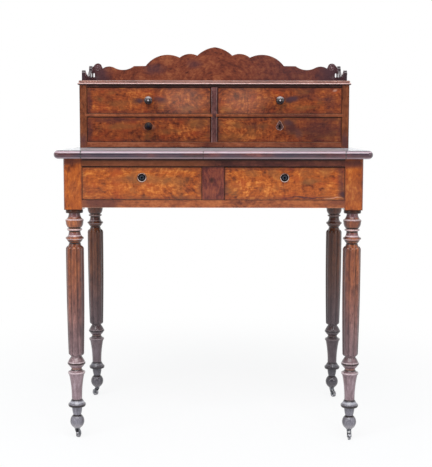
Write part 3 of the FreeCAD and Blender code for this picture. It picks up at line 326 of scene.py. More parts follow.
def figured(node, stops, heart, seed, dark, olive, worn=(), stained=(), keyhole=None, foot=0.55):
    """Flame veneer of one drawer front.

    Dark, olive, worn and stained are lists of patches, the keyhole is a place on the front,
    and the foot is the strength of the painted shade along the front's bottom edge. The dark
    patches are dark marks, and at some fronts' ends painted shade. The worn ones are wear, and
    on one front a painted highlight. The front darkens towards its edges with dirt and painted
    shade, takes painted shade in the gap round it, and is painted black behind the keyhole.
    """
    low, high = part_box(node)
    wood = Mahogany(f"{node} veneer", seed=seed)
    share = wood.share(cloud=0.6, streaks=0.2, fibre=0.65, mottle=0.65) + wood.arcs(heart) * 0.7
    colour = wood.ramp(share.clipped(), *stops)
    tint = wood.drawn(narrow=1.6, scale=22.0, detail=3.0)
    colour = wood.mix(wood.step(tint, 0.52, 0.68) * 0.45, colour, OLIVE)
    colour = wood.mix(wood.step(tint, 0.46, 0.32) * 0.4, colour, RUST)
    colour = wood.mix(wood.patches(olive), colour, OLIVE)
    # Darker towards the front's edges: dirt, and painted shade.
    rim = wood.step(wood.edge(low, high, 0.005), 0.014, 0.0)
    colour = wood.mix((rim * 0.4 + wood.patches(dark) * 0.85).clipped(), colour, DARK_TONE_AND_SHADE)
    for spots, stain in ((worn, WEAR_AND_HIGHLIGHT), (stained, PLUM)):
        if spots:
            colour = wood.mix(wood.patches(spots), colour, stain)
    # Painted shade, with dust, in the gap round the front.
    colour = wood.mix(gap_dust_and_shade(wood, low, high, foot), colour, GRIME_AND_SHADE)
    # Painted shade: the front is black behind the plate's keyhole.
    if keyhole:
        x, _, z = wood.axes(wood.place)
        radius = (x - keyhole[0]).length(z - keyhole[1])
        hole = wood.step(radius, KEYHOLE_RADIUS * 1.1, KEYHOLE_RADIUS)
        colour = wood.mix(hole, colour, KEYHOLE_BLACK)
    dress(wood.polish(colour), node)


# ---------------------------------------------------------------- plain woods and metals


def metal(name, colour, worn, roughness):
    """Tarnished metal: two tones mixed by a fine noise."""
    finish = Finish(name, metallic=0.9)
    patch = finish.noise(finish.place, 260.0, 4.0, 0.6)
    finish.give("Base Color", finish.mix(finish.step(patch, 0.38, 0.66), colour, worn))
    finish.give("Roughness", patch * 0.3 + roughness)
    finish.bump(patch, 0.15)
    return finish


CARCASE_WOOD = shades((58, 22, 16), (90, 40, 26), (122, 62, 38))
LINING_WOOD = shades((142, 108, 74), (178, 144, 106), (204, 174, 136))

BY_SLOT = {
    "carcase_mahogany": plain("carcase mahogany", CARCASE_WOOD),
    "drawer_lining": plain("drawer lining", LINING_WOOD, "y", seed=0.6, roughness=0.6, coat=0.0),
    "lock_metal": metal("lock iron", tone(90, 84, 80), tone(150, 142, 134), 0.35),
    "castor_metal": metal("castor metal", tone(30, 30, 34), tone(140, 142, 148), 0.25),
    "castor_wheel": metal("castor wheel", tone(84, 82, 86), tone(196, 196, 202), 0.3),
}
for row in frame["record"]["subparts"]:
    if row["material_slot"] in BY_SLOT:
        dress(BY_SLOT[row["material_slot"]], row["node"])


# ---------------------------------------------------------------- legs


# Levels are heights above the ground.
BLOCK_FOOT, BLOCK_HALF = 0.6035, 0.0235
DISC_FOOT, REED_HEAD, REED_FOOT, FOOT_RING = 0.5945, 0.508, 0.2235, 0.104
REEDS = 8
BROWN_WOOD = shades((64, 28, 20), (122, 64, 38), (166, 96, 54))
GREYED_WOOD = shades((94, 74, 78), (134, 112, 118), (164, 146, 154))
FOOT_WOOD = shades((98, 95, 103), (118, 115, 124), (136, 133, 142))
# Painted light: a reflection of the floor under the ball, and the pale lips of the foot, rubbed and with a
# painted highlight.
BALL_FLOOR_REFLECTION, FOOT_LIP_WEAR_AND_HIGHLIGHT = tone(172, 164, 166), tone(196, 198, 208)
# Painted shade on the flanks, on the ball and on the side towards the table's middle.
FLANK_SHADE, BALL_SHADE, INNER_SHADE = tone(44, 26, 30), tone(40, 38, 44), tone(56, 36, 42)
# Painted shade over the turned wood of the rear legs, which stand under the table.
UPPER_SHADOW, LOWER_SHADOW = tone(54, 28, 20), tone(46, 40, 46)

# Levels at which a change of the turned wood begins and at which it is full.
GREYING, SHADOW_GREYING, LIP_LINE_GREYING = (0.46, 0.12), (0.42, 0.20), (0.15, 0.11)
NECKED, FLANKED, SHADED_INSIDE = (0.166, 0.172), (0.14, 0.24), (0.16, 0.24)
ON_BALL, UNDER_BALL = (0.066, 0.060), (0.046, 0.034)

# Foot and head of each line of painted shade, and of each lip that is rubbed pale and has a painted
# highlight.
LINE_BLUR = 0.0006
SHADE_LINES = ((0.5555, 0.5585), (0.5455, 0.5490), (0.5215, 0.5235), (0.5150, 0.5185), (0.1995, 0.2035),
               (0.1835, 0.1855), (0.1030, 0.1060), (0.0865, 0.0925), (0.0605, 0.0640))
RUBBED_AND_HIGHLIGHT_LINES = ((0.5765, 0.5795), (0.5505, 0.5535), (0.5350, 0.5375), (0.5270, 0.5285), (0.2045, 0.2060),
                (0.1765, 0.1790), (0.0970, 0.1000))

# Two coves, the foot of the shaft and the waist below it. Each tint begins at the first
# level, is full from the second to the third and ends at the fourth; then its strength.
LILAC = tone(124, 90, 98)
TINTED_LEVELS = (
    (0.5825, 0.5845, 0.5945, 0.5965, 0.60, LILAC),
    (0.5320, 0.5335, 0.5430, 0.5445, 0.60, LILAC),
    (0.2035, 0.2045, 0.2900, 0.3200, 0.22, tone(74, 60, 66)),
    (0.1840, 0.1850, 0.1905, 0.1915, 0.25, tone(176, 112, 66)),
)


class LegWood(Mahogany):
    """Wood of one leg, by its height and its place about the leg's own axis."""

    def __init__(self, name, seed):
        super().__init__(name, "z", seed, coat=1.0)
        low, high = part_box(name)
        x, y, self.height = self.axes(self.place)
        self.across, self.deep = x - (low[0] + high[0]) / 2, y - (low[1] + high[1]) / 2
        self.inward = self.across if low[0] < 0 else 0.0 - self.across
        self.radius = self.across.length(self.deep)
        self.disc = self.band(self.height, DISC_FOOT, BLOCK_FOOT, 0.0005)

    def turned(self):
        """Turned wood, brown at its head, grey at its foot, with a painted reflection of the floor under
        the ball.
        """
        share = self.share(cloud=0.7, streaks=0.7, fibre=0.4, mottle=0.3).clipped()
        brown, greyed, foot = (self.ramp(share, *stops) for stops in (BROWN_WOOD, GREYED_WOOD, FOOT_WOOD))
        colour = self.mix(self.step(self.height, *GREYING), brown, greyed)
        colour = self.mix(self.step(self.height, FOOT_RING + 0.001, FOOT_RING), colour, foot)
        return self.mix(self.step(self.height, *UNDER_BALL) * 0.5, colour, BALL_FLOOR_REFLECTION)

    def grooved(self, colour):
        """Dark in the grooves between the reeds and in the necks: old polish and dirt, and painted shade.
        """
        shaft = self.band(self.height, REED_FOOT, REED_HEAD, 0.004)
        groove = self.step((self.deep.bearing(self.across) * REEDS).cosine(), -0.45, -0.95) * shaft
        neck = self.step(self.radius, 0.0178, 0.0146) * self.step(self.height, *NECKED)
        return self.mix((groove * 0.35 + neck * (1.0 - shaft) * 0.25).clipped(), colour, GRIME_AND_SHADE)

    def tinted(self, colour):
        """Levels of the turning that have a tint of their own."""
        for begins, foot, head, ends, strength, tint in TINTED_LEVELS:
            level = self.step(self.height, begins, foot) * self.step(self.height, ends, head)
            colour = self.mix(level * strength, colour, tint)
        return colour

    def shaded(self, colour):
        """Painted shade: darker flanks above the waist and on the foot, and a darker side to the table's
        middle.
        """
        flank = self.step(abs(self.across) / self.radius, 0.55, 1.0)
        colour = self.mix(flank * self.step(self.height, *FLANKED) * 0.5, colour, FLANK_SHADE)
        colour = self.mix(flank * self.step(self.height, *ON_BALL) * 0.45, colour, BALL_SHADE)
        inner = self.step(self.inward / self.radius, 0.1, 0.8)
        return self.mix(inner * self.step(self.height, *SHADED_INSIDE) * 0.4, colour, INNER_SHADE)

    def lines(self, levels):
        """How far a point lies in any of the lines."""
        return sum(self.band(self.height, foot, head, LINE_BLUR) for foot, head in levels)

    def lined(self, colour):
        """Lips pale, rubbed and with a painted highlight; painted shade in lines beside them and on the
        disc under the block.
        """
        lip_wear_and_highlight = self.mix(self.step(self.height, *LIP_LINE_GREYING), LEG_LIP_WEAR_AND_HIGHLIGHT, FOOT_LIP_WEAR_AND_HIGHLIGHT)
        colour = self.mix(self.lines(RUBBED_AND_HIGHLIGHT_LINES).clipped() * 0.5, colour, lip_wear_and_highlight)
        return self.mix((self.lines(SHADE_LINES) * 0.9 + self.disc * 0.85).clipped(), colour, GRIME_AND_SHADE)

    def block(self, spots):
        """Veneer of the block: painted shade at its arrises, darker in the spots, and painted shade along
        its foot.
        """
        share = self.share(cloud=0.7, streaks=0.2, fibre=0.45, mottle=0.6).clipped()
        colour = self.ramp(share, *FLAME)
        colour = self.mix(self.step(BLOCK_HALF - abs(self.across), 0.006, 0.0) * 0.5, colour, DARK_TONE_AND_SHADE)
        colour = self.mix(self.patches(spots, 0.01), colour, DARK_TONE_AND_SHADE)
        return self.mix(self.step(self.height, BLOCK_FOOT + 0.003, BLOCK_FOOT) * 0.7, colour, GRIME_AND_SHADE)


def leg_finish(name, seed, darker, spots):
    """Block veneered like the drawer fronts; the turned wood below it may be darkened by painted shade, as
    on the rear legs under the table.
    """
    wood = LegWood(name, seed)
    turned = wood.lined(wood.shaded(wood.tinted(wood.grooved(wood.turned()))))
    shadow = wood.mix(wood.step(wood.height, *SHADOW_GREYING), UPPER_SHADOW, LOWER_SHADOW)
    turned = wood.mix(darker, turned, shadow)
    wood.give("Coat Weight", 0.5 - wood.disc * 0.42)
    above = wood.step(wood.height, BLOCK_FOOT - 0.0003, BLOCK_FOOT)
    dress(wood.polish(wood.mix(above, turned, wood.block(spots))), name)


FRONT_SPOTS = {
    "left": [(-0.357, 0.726, 0.05, 0.012, 0.6), (-0.355, 0.66, 0.02, 0.03, 0.2)],
    "right": [(0.355, 0.722, 0.05, 0.018, 0.8), (0.355, 0.65, 0.06, 0.06, 0.3)],
}
# Painted shade over the rear legs' blocks.
REAR_SPOTS = [(0.0, 0.7, 0.5, 0.2, 0.3)]
# Strength of the painted shade on each rear leg's turned wood.
REAR_DARKER = {"left": 0.6, "right": 0.75}
SIDES = (("left", -1), ("right", 1))

for side, way in SIDES:
    leg_finish(f"leg_front_{side}", seed=0.3 + way * 0.1, darker=0.0, spots=FRONT_SPOTS[side])
    leg_finish(f"leg_rear_{side}", seed=1.3 + way * 0.1, darker=REAR_DARKER[side], spots=REAR_SPOTS)


# ---------------------------------------------------------------- top


# Where the rounded front edge begins, its underside, and the foot and head of its bands.
EDGE_BEGINS, EDGE_FOOT, EDGE_BLUR = -0.236, 0.734, 0.001
# Bands of the rounded edge: a painted highlight, and a painted pale reflection of the floor.
NOSING_HIGHLIGHT_BAND, NOSING_FLOOR_REFLECTION_BAND = (0.7496, 0.7524), (0.7342, 0.7370)
SLIDE_SIDE, NOSING_JOINT = 0.333, -0.025
WINE_WOOD = shades((40, 16, 22), (74, 34, 40), (108, 56, 54))
# Tones painted on the rounded edge: a dark reflection, a highlight and a reflection of the floor.
SLATE_REFLECTION_TONE, NOSING_HIGHLIGHT, NOSING_FLOOR_REFLECTION = tone(40, 36, 56), tone(226, 198, 212), tone(160, 138, 146)


def top_finish(name, coat_roughness):
    """Dark wine-coloured wood under a bloom of old polish, which shows at a low angle.

    The rounded edge, from its head down: a painted highlight nearly white, dark wine with
    slate patches of painted dark reflection, a painted pale reflection of the floor, then
    painted shade on its underside. The joints between its lengths are dark lines.
    """
    wood = Mahogany(name, seed=0.2, roughness=0.35, coat=1.0, coat_roughness=coat_roughness)
    x, y, z = wood.axes(wood.place)
    wood.give("Sheen Weight", 0.5)
    wood.give("Sheen Roughness", 0.3)
    wood.give("Sheen Tint", (0.84, 0.92, 1.0, 1.0))
    wine = wood.ramp(wood.share().clipped(), *WINE_WOOD)
    # Painted dark reflection, in slate patches on the rounded edge.
    slate_reflection = wood.step(wood.noise(wood.moved(wood.place, (1.0, 3.0, 3.0)), 9.0, 3.0), 0.45, 0.6)
    rounded = wood.step(y, EDGE_BEGINS + EDGE_BLUR, EDGE_BEGINS - EDGE_BLUR)
    colour = wood.mix(slate_reflection * rounded * 0.6, wine, SLATE_REFLECTION_TONE)
    # Painted highlight along the head of the rounded edge.
    painted_highlight = wood.band(z, *NOSING_HIGHLIGHT_BAND, EDGE_BLUR) * rounded
    colour = wood.mix(painted_highlight * 0.5, colour, NOSING_HIGHLIGHT)
    # Painted reflection of the floor, low on the rounded edge.
    greyed = wood.band(z, *NOSING_FLOOR_REFLECTION_BAND, EDGE_BLUR) * rounded
    colour = wood.mix(greyed * 0.75, colour, NOSING_FLOOR_REFLECTION)
    # Painted shade on the underside of the rounded edge.
    painted_underside_shade = wood.step(z, EDGE_FOOT + EDGE_BLUR, EDGE_FOOT) * rounded
    colour = wood.mix(painted_underside_shade * 0.9, colour, GRIME_AND_SHADE)
    ends = wood.step(abs(abs(x) - SLIDE_SIDE), 0.0022, 0.0008)
    joint = wood.step(abs(x - NOSING_JOINT), 0.0015, 0.0005)
    colour = wood.mix(((ends + joint) * rounded).clipped() * 0.85, colour, GRIME_AND_SHADE)
    dress(wood.polish(colour), name)


for name in ("top_end_left", "top_end_right", "slide_nosing"):
    top_finish(name, coat_roughness=0.08)
for name in ("writing_slide", "top_rear_rail"):
    top_finish(name, coat_roughness=0.15)


# ---------------------------------------------------------------- gallery and cornice


GALLERY_FOOT, EAR_BEGINS = 0.943, 0.325
GALLERY_STAINS = [(-0.18, 0.985, 0.05, 0.025, 0.6), (-0.06, 1.0, 0.035, 0.02, 0.5)]
GALLERY_WOOD = shades((76, 34, 26), (118, 56, 36), (148, 84, 52))
CORNICE_WOOD = shades((92, 52, 42), (128, 80, 66), (156, 108, 94))
BEAD_LINE_FOOT, BEAD_HEAD = 0.9336, 0.9368


def gallery_finish(name, darker, seed):
    """Fine mottled wood, plum-coloured to the right and at its ears, dark at its foot."""
    wood = Mahogany(name, seed=seed, coat=0.8)
    x, _, z = wood.axes(wood.warped(wood.place, 14.0, 0.05))
    share = wood.share(cloud=0.5, streaks=0.1, fibre=0.5, mottle=0.75)
    share = share + wood.arcs(heart=(0.0, 0.93), reach=0.5) * 0.5
    colour = wood.ramp(share.clipped(), *GALLERY_WOOD)
    colour = wood.mix(wood.step(x, 0.02, 0.25) * 0.45, colour, PLUM)
    colour = wood.mix(wood.patches(GALLERY_STAINS), colour, PLUM)
    colour = wood.mix(wood.step(abs(x), EAR_BEGINS - 0.03, EAR_BEGINS + 0.01) * 0.85, colour, PLUM)
    colour = wood.mix(wood.step(z, GALLERY_FOOT + 0.012, GALLERY_FOOT) * 0.35, colour, DARK_TONE_AND_SHADE)
    colour = wood.mix(darker, colour, tone(40, 30, 36))
    dress(wood.polish(colour), name)


gallery_finish("gallery_back", darker=0.0, seed=0.4)
for name in ("gallery_side_left", "gallery_side_right"):
    gallery_finish(name, darker=0.75, seed=0.9)


def cornice_finish():
    """Cornice of two members: the bead's edge is a pale line, rubbed and with a painted highlight, with
    painted shade below.
    """
    wood = Mahogany("cornice mahogany", seed=1.9, coat=1.0, coat_roughness=0.05)
    _, _, z = wood.axes(wood.place)
    colour = wood.ramp(wood.share().clipped(), *CORNICE_WOOD)
    # Pale line on the bead: wear and a painted highlight.
    colour = wood.mix(wood.band(z, BEAD_LINE_FOOT, BEAD_HEAD, 0.0006), colour, tone(190, 152, 146))
    # Painted shade under the bead.
    colour = wood.mix(wood.step(z, BEAD_LINE_FOOT, BEAD_LINE_FOOT - 0.001) * 0.9, colour, GRIME_AND_SHADE)
    dress(wood.polish(colour), "gradin_top")


cornice_finish()


# ---------------------------------------------------------------- rails, boards and uprights


def member(node, stops, grain="x", seed=0.0, lips=(), patches=(), patch_tone=DARK_TONE_AND_SHADE):
    """A rail, board or upright whose long edges, the lips, are lined dark or pale, mostly with painted
    shade and painted highlights.

    A lip is an axis, the place where its line is deepest, the place where it ends, its
    strength and its colour. The patches take a tone of their own.
    """
    wood = Mahogany(f"{node} wood", grain, seed)
    share = wood.share(cloud=0.6, streaks=0.4, fibre=0.5, mottle=0.6).clipped()
    colour = wood.ramp(share, *stops)
    if patches:
        colour = wood.mix(wood.patches(patches), colour, patch_tone)
    place = dict(zip("xyz", wood.axes(wood.place)))
    for axis, deepest, end, strength, line in lips:
        colour = wood.mix(wood.step(place[axis], end, deepest) * strength, colour, line)
    dress(wood.polish(colour), node)


# The amber lip is a streak in the wood; the cream lips are painted highlights along edges; the grime lips
# below are painted shade in gaps, along edges and under overhangs.
AMBER, LIP_HIGHLIGHT_TONE = tone(158, 88, 42), tone(214, 170, 140)

# Painted shade: this rail's wood is darker, as it lies under the top's edge; its top lip is painted shade
# under that edge, its bottom lip painted shade in the drawers' gap.
member("front_top_rail", shades((52, 22, 18), (86, 42, 32), (116, 62, 44)), seed=0.5,
       lips=[("x", -0.05, 0.02, 0.3, AMBER), ("z", 0.7145, 0.7162, 0.9, GRIME_AND_SHADE),
             ("z", 0.7315, 0.7255, 0.85, GRIME_AND_SHADE)],
       patches=[(0.16, 0.7235, 0.20, 0.02, 0.3)])
member("front_bottom_rail", shades((90, 40, 24), (142, 74, 38), (172, 100, 54)), seed=1.7,
       lips=[("z", 0.6295, 0.6275, 0.6, GRIME_AND_SHADE), ("z", 0.6097, 0.6110, 0.3, LIP_HIGHLIGHT_TONE)],
       patches=[(-0.29, 0.618, 0.085, 0.05, 0.75), (0.31, 0.62, 0.04, 0.02, 0.35)])
member("centre_muntin", shades((50, 18, 20), (92, 40, 34), (132, 66, 44)), grain="z", seed=1.1,
       lips=[("z", 0.7135, 0.708, 0.6, GRIME_AND_SHADE), ("z", 0.630, 0.634, 0.5, GRIME_AND_SHADE),
             ("x", -0.0285, -0.0265, 0.6, GRIME_AND_SHADE), ("x", 0.0285, 0.0265, 0.6, GRIME_AND_SHADE)],
       patches=[(-0.006, 0.680, 0.010, 0.012, 0.75), (0.012, 0.66, 0.004, 0.05, 0.2)], patch_tone=GRIME_AND_SHADE)
member("gradin_shelves", shades((92, 44, 28), (132, 70, 42), (162, 92, 56)), seed=3.1,
       lips=[("z", 0.8500, 0.8490, 0.35, LIP_HIGHLIGHT_TONE), ("z", 0.8415, 0.8440, 0.9, GRIME_AND_SHADE)],
       patches=[(0.25, 0.8465, 0.10, 0.01, 0.5), (-0.345, 0.846, 0.02, 0.01, 0.4)])
member("gradin_bottom", shades((92, 42, 28), (132, 70, 44), (160, 94, 64)), seed=2.3,
       lips=[("z", 0.7712, 0.7700, 0.3, LIP_HIGHLIGHT_TONE), ("z", 0.7555, 0.7595, 0.9, GRIME_AND_SHADE)],
       patches=[(0.0, 0.763, 0.05, 0.02, 0.4), (0.25, 0.763, 0.15, 0.02, 0.3)])
# Painted shade: the whole rail is near black, as it lies in shadow under the cornice.
member("gradin_top_rail", shades((30, 14, 12), (52, 26, 22), (80, 42, 34)), seed=2.9)
member("gradin_divider", shades((60, 32, 32), (98, 60, 58), (130, 88, 84)), grain="z", seed=0.9)
for side, way in SIDES:
    member(f"gradin_side_{side}", shades((70, 32, 18), (112, 58, 32), (142, 82, 48)),
           grain="z", seed=0.7 * way,
           lips=[("x", way * 0.3781, way * 0.3755, 0.75, GRIME_AND_SHADE),
                 ("x", way * 0.3574, way * 0.3600, 0.5, GRIME_AND_SHADE)],
           patches=[(way * 0.368, 0.775, 0.018, 0.035, 0.6)], patch_tone=PLUM)


# ---------------------------------------------------------------- drawer fronts


FITTING_X, FRIEZE_KEY_X = 0.18375, 0.18075
UPPER_Z, LOWER_Z, FRIEZE_KEY_Z = 0.887, 0.81525, 0.68615

figured("frieze_drawer_left_front", FLAME, heart=(0.040, 0.671), seed=0.0,
        dark=[(-0.305, 0.655, 0.04, 0.02, 0.25), (-0.213, 0.683, 0.012, 0.012, 0.4),
              (-0.14, 0.70, 0.02, 0.012, 0.2)],
        olive=[(-0.17, 0.680, 0.13, 0.016, 0.55), (-0.085, 0.67, 0.03, 0.04, 0.35)],
        keyhole=(-FRIEZE_KEY_X, FRIEZE_KEY_Z))
# Painted shade at this front's right end, beside the gap.
figured("frieze_drawer_right_front", FLAME, heart=(0.030, 0.671), seed=0.13,
        dark=[(0.323, 0.672, 0.013, 0.07, 0.65), (0.24, 0.6355, 0.10, 0.0025, 0.75),
              (0.325, 0.64, 0.02, 0.01, 0.5)],
        olive=[(0.245, 0.676, 0.04, 0.012, 0.7), (0.05, 0.66, 0.03, 0.03, 0.3)],
        # This worn line along the foot is a painted highlight.
        worn=[(0.305, 0.6315, 0.03, 0.0014, 0.6)],
        keyhole=(FRIEZE_KEY_X, FRIEZE_KEY_Z), foot=0.1)
figured("gradin_upper_drawer_left_front", DEEP_FLAME, heart=(0.035, 0.887), seed=0.31,
        dark=[(-0.214, 0.884, 0.022, 0.014, 0.9), (-0.150, 0.888, 0.026, 0.014, 0.75),
              (-0.349, 0.885, 0.011, 0.05, 0.6), (-0.06, 0.905, 0.02, 0.012, 0.3)],
        olive=[(-0.27, 0.88, 0.05, 0.014, 0.4), (-0.07, 0.868, 0.05, 0.01, 0.4)],
        worn=[(-0.085, 0.887, 0.10, 0.06, 0.15)],
        stained=[(-0.206, 0.886, 0.016, 0.010, 0.75), (-0.152, 0.893, 0.024, 0.009, 0.6)])
figured("gradin_upper_drawer_right_front", DEEP_FLAME, heart=(0.035, 0.887), seed=0.47,
        dark=[(0.216, 0.892, 0.034, 0.016, 1.0), (0.15, 0.89, 0.02, 0.014, 0.4),
              (0.325, 0.885, 0.03, 0.05, 0.55), (0.26, 0.905, 0.06, 0.02, 0.5)],
        olive=[(0.035, 0.862, 0.025, 0.014, 0.6), (0.25, 0.868, 0.05, 0.01, 0.5)],
        worn=[(0.337, 0.9165, 0.010, 0.005, 0.6), (0.08, 0.887, 0.09, 0.06, 0.14)],
        stained=[(0.216, 0.893, 0.026, 0.012, 0.85), (0.30, 0.892, 0.05, 0.01, 0.2)])
figured("gradin_lower_drawer_left_front", DEEP_FLAME, heart=(0.035, 0.806), seed=0.61,
        dark=[(-0.28, 0.832, 0.10, 0.012, 0.6), (-0.349, 0.806, 0.012, 0.05, 0.6),
              (-0.04, 0.81, 0.02, 0.03, 0.4)],
        olive=[(-0.26, 0.815, 0.08, 0.014, 0.6), (-0.14, 0.80, 0.03, 0.014, 0.4),
               (-0.06, 0.82, 0.03, 0.02, 0.4)],
        worn=[(-FITTING_X, LOWER_Z - 0.003, 0.018, 0.014, 0.35)])
figured("gradin_lower_drawer_right_front", DEEP_FLAME, heart=(0.035, 0.806), seed=0.83,
        dark=[(0.215, 0.812, 0.028, 0.03, 0.9), (0.30, 0.806, 0.10, 0.05, 0.85),
              (0.12, 0.815, 0.05, 0.012, 0.4)],
        olive=[(0.06, 0.82, 0.03, 0.012, 0.5), (0.25, 0.80, 0.05, 0.012, 0.35)],
        stained=[(0.206, 0.826, 0.018, 0.012, 0.6), (0.236, 0.795, 0.016, 0.02, 0.5)],
        keyhole=(FITTING_X, LOWER_Z))


# ---------------------------------------------------------------- fittings


# Radii of a knob's ring and of its middle.
KNOB_RING, KNOB_MIDDLE = (0.0066, 0.0105), 0.0030
EBONY_DARK, EBONY_PALE, KNOB_CROWN_HIGHLIGHT = tone(6, 4, 6), tone(28, 22, 26), tone(176, 166, 168)


def knob_finish(name, way, height, middle, ring, shine):
    """Turned and ebonised knob, worn along its ring, with a painted highlight on its crown as strong as the
    shine, and a middle of its own colour.
    """
    ebony = Finish(f"{name} ebony", coat=shine * 0.4, coat_roughness=0.12)
    ebony.give("Specular IOR Level", 0.15)
    x, _, z = ebony.axes(ebony.place)
    radius = (x - way * FITTING_X).length(z - height)
    speck = ebony.noise(ebony.place, 260.0, 4.0, 0.65)
    colour = ebony.mix(speck, EBONY_DARK, EBONY_PALE)
    worn = ebony.step(speck, 0.42, 0.60)
    colour = ebony.mix(ebony.band(radius, *KNOB_RING, 0.001) * worn * 0.8, colour, ring)
    # Painted highlight on the crown, flecked with wear.
    painted_crown_highlight = ebony.step(z - height, 0.0035, 0.0085) * ebony.step(radius, 0.0045, 0.0060) * shine
    colour = ebony.mix(painted_crown_highlight * (worn * 0.4 + 0.5), colour, KNOB_CROWN_HIGHLIGHT)
    colour = ebony.mix(ebony.step(radius, KNOB_MIDDLE, KNOB_MIDDLE * 0.6), colour, middle)
    ebony.give("Base Color", colour)
    ebony.give("Roughness", speck * 0.3 + 0.25)
    ebony.bump(speck, 0.15)
    dress(ebony, name)


# The pale middle of the upper knobs is a painted glint.
for side, way in SIDES:
    knob_finish(f"gradin_upper_drawer_{side}_knob", way, UPPER_Z,
                middle=tone(186, 178, 184), ring=tone(84, 66, 68), shine=1.0)
knob_finish("gradin_lower_drawer_left_knob", -1, LOWER_Z,
            middle=tone(22, 24, 48), ring=tone(70, 36, 30), shine=0.0)

# Radii of a round key plate: its outer edge, the dish within its rim, and the keyhole.
PLATE_EDGE, DISH_EDGE, PLATE_HOLE = 0.0108, 0.0100, 0.0034
BRASS_DULL, BRASS_BRIGHT, BRASS_STAIN = tone(104, 74, 66), tone(226, 200, 190), tone(96, 52, 34)
DISH_DARK, DISH_PALE, HOLE_BLACK = tone(14, 10, 12), tone(72, 76, 86), tone(8, 6, 8)


def key_plate_finish(side, way):
    """Dished brass plate: its rim tarnished in patches and brightest low down with a painted highlight,
    dull in the dish, the keyhole painted black as shade.
    """
    name = f"frieze_drawer_{side}_key_plate"
    plate = metal(f"{name} brass", tone(150, 120, 112), tone(216, 190, 178), 0.25)
    x, _, z = plate.axes(plate.place)
    radius = (x - way * FRIEZE_KEY_X).length(z - FRIEZE_KEY_Z)
    tarnish = plate.noise(plate.place, 150.0, 4.0, 0.6)
    # Painted highlight low on the rim.
    foot = plate.step(z, FRIEZE_KEY_Z + 0.004, FRIEZE_KEY_Z - 0.008)
    bright_and_highlight = plate.step(tarnish + foot * 0.35, 0.45, 0.72)
    rim = plate.mix(bright_and_highlight, BRASS_DULL, BRASS_BRIGHT)
    rim = plate.mix(plate.step(radius, PLATE_EDGE, PLATE_EDGE + 0.0006), rim, BRASS_STAIN)
    dish = plate.mix(plate.step(radius, 0.0068, 0.0052), DISH_DARK, DISH_PALE)
    colour = plate.mix(plate.step(radius, DISH_EDGE, DISH_EDGE - 0.0008), rim, dish)
    # Painted shade: the keyhole is black.
    hole = plate.step(radius, PLATE_HOLE, PLATE_HOLE - 0.0012)
    plate.give("Base Color", plate.mix(hole, colour, HOLE_BLACK))
    dress(plate, name)


for side, way in SIDES:
    key_plate_finish(side, way)

PEAR = "gradin_lower_drawer_right_key_plate"
PEAR_HOLE_Z, PEAR_HOLE_BLACK = LOWER_Z - 0.003, tone(6, 3, 3)


def pear_plate_finish():
    """Dark bronze plate with a keyhole painted black as shade: a round one, and a slot that rises from it.
    """
    pear = metal("pear plate bronze", tone(62, 36, 36), tone(112, 78, 74), 0.35)
    pear.give("Metallic", 0.5)
    x, _, z = pear.axes(pear.place)
    radius = (x - FITTING_X).length((z - PEAR_HOLE_Z) * 0.9)
    slot = pear.step(abs(x - FITTING_X), 0.0018, 0.0010) * pear.band(z, PEAR_HOLE_Z, LOWER_Z + 0.006, 0.001)
    hole = (pear.step(radius, 0.0040, 0.0030) + slot).clipped()
    bronze = Wire(pear, pear.shader.inputs["Base Color"].links[0].from_socket)
    # Painted shade: the keyhole is black.
    pear.give("Base Color", pear.mix(hole, bronze, PEAR_HOLE_BLACK))
    dress(pear, PEAR)


pear_plate_finish()


# ---------------------------------------------------------------- carving


def circle(count):
    """Evenly spaced angles, once round."""
    return np.linspace(0, 2 * np.pi, count + 1)[:-1]


def laid_out(flat, centre, across, up, out):
    """Points given across, up and out of a face, placed about a centre on that face."""
    return np.array(centre) + sum(part[..., None] * axis for part, axis in zip(flat, (across, up, out)))


def shell(name, points, body, finish):
    """A closed piece from a grid of points: rows along it, and round it within a row."""
    rows, round_it = points.shape[:2]
    number = np.arange(rows * round_it).reshape(rows, round_it)
    beside = np.roll(number, -1, axis=1)
    quads = np.stack([number[:-1], beside[:-1], beside[1:], number[1:]], axis=-1).reshape(-1, 4)
    mesh = bpy.data.meshes.new(name)
    mesh.from_pydata(points.reshape(-1, 3).tolist(), [], quads.tolist())
    mesh.polygons.foreach_set("use_smooth", np.ones(len(quads), dtype=bool))
    item = bpy.data.objects.new(name, mesh)
    bpy.context.scene.collection.objects.link(item)
    tidy = bmesh.new()
    tidy.from_mesh(mesh)
    bmesh.ops.remove_doubles(tidy, verts=tidy.verts, dist=1e-6)
    bmesh.ops.recalc_face_normals(tidy, faces=tidy.faces)
    tidy.to_mesh(mesh)
    tidy.free()
    mesh.materials.append(finish.material)
    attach(item, body)


BEAD_ROWS, BEAD_SIDES = 56, 8
EYE_ROWS, EYE_SIDES = 9, 16


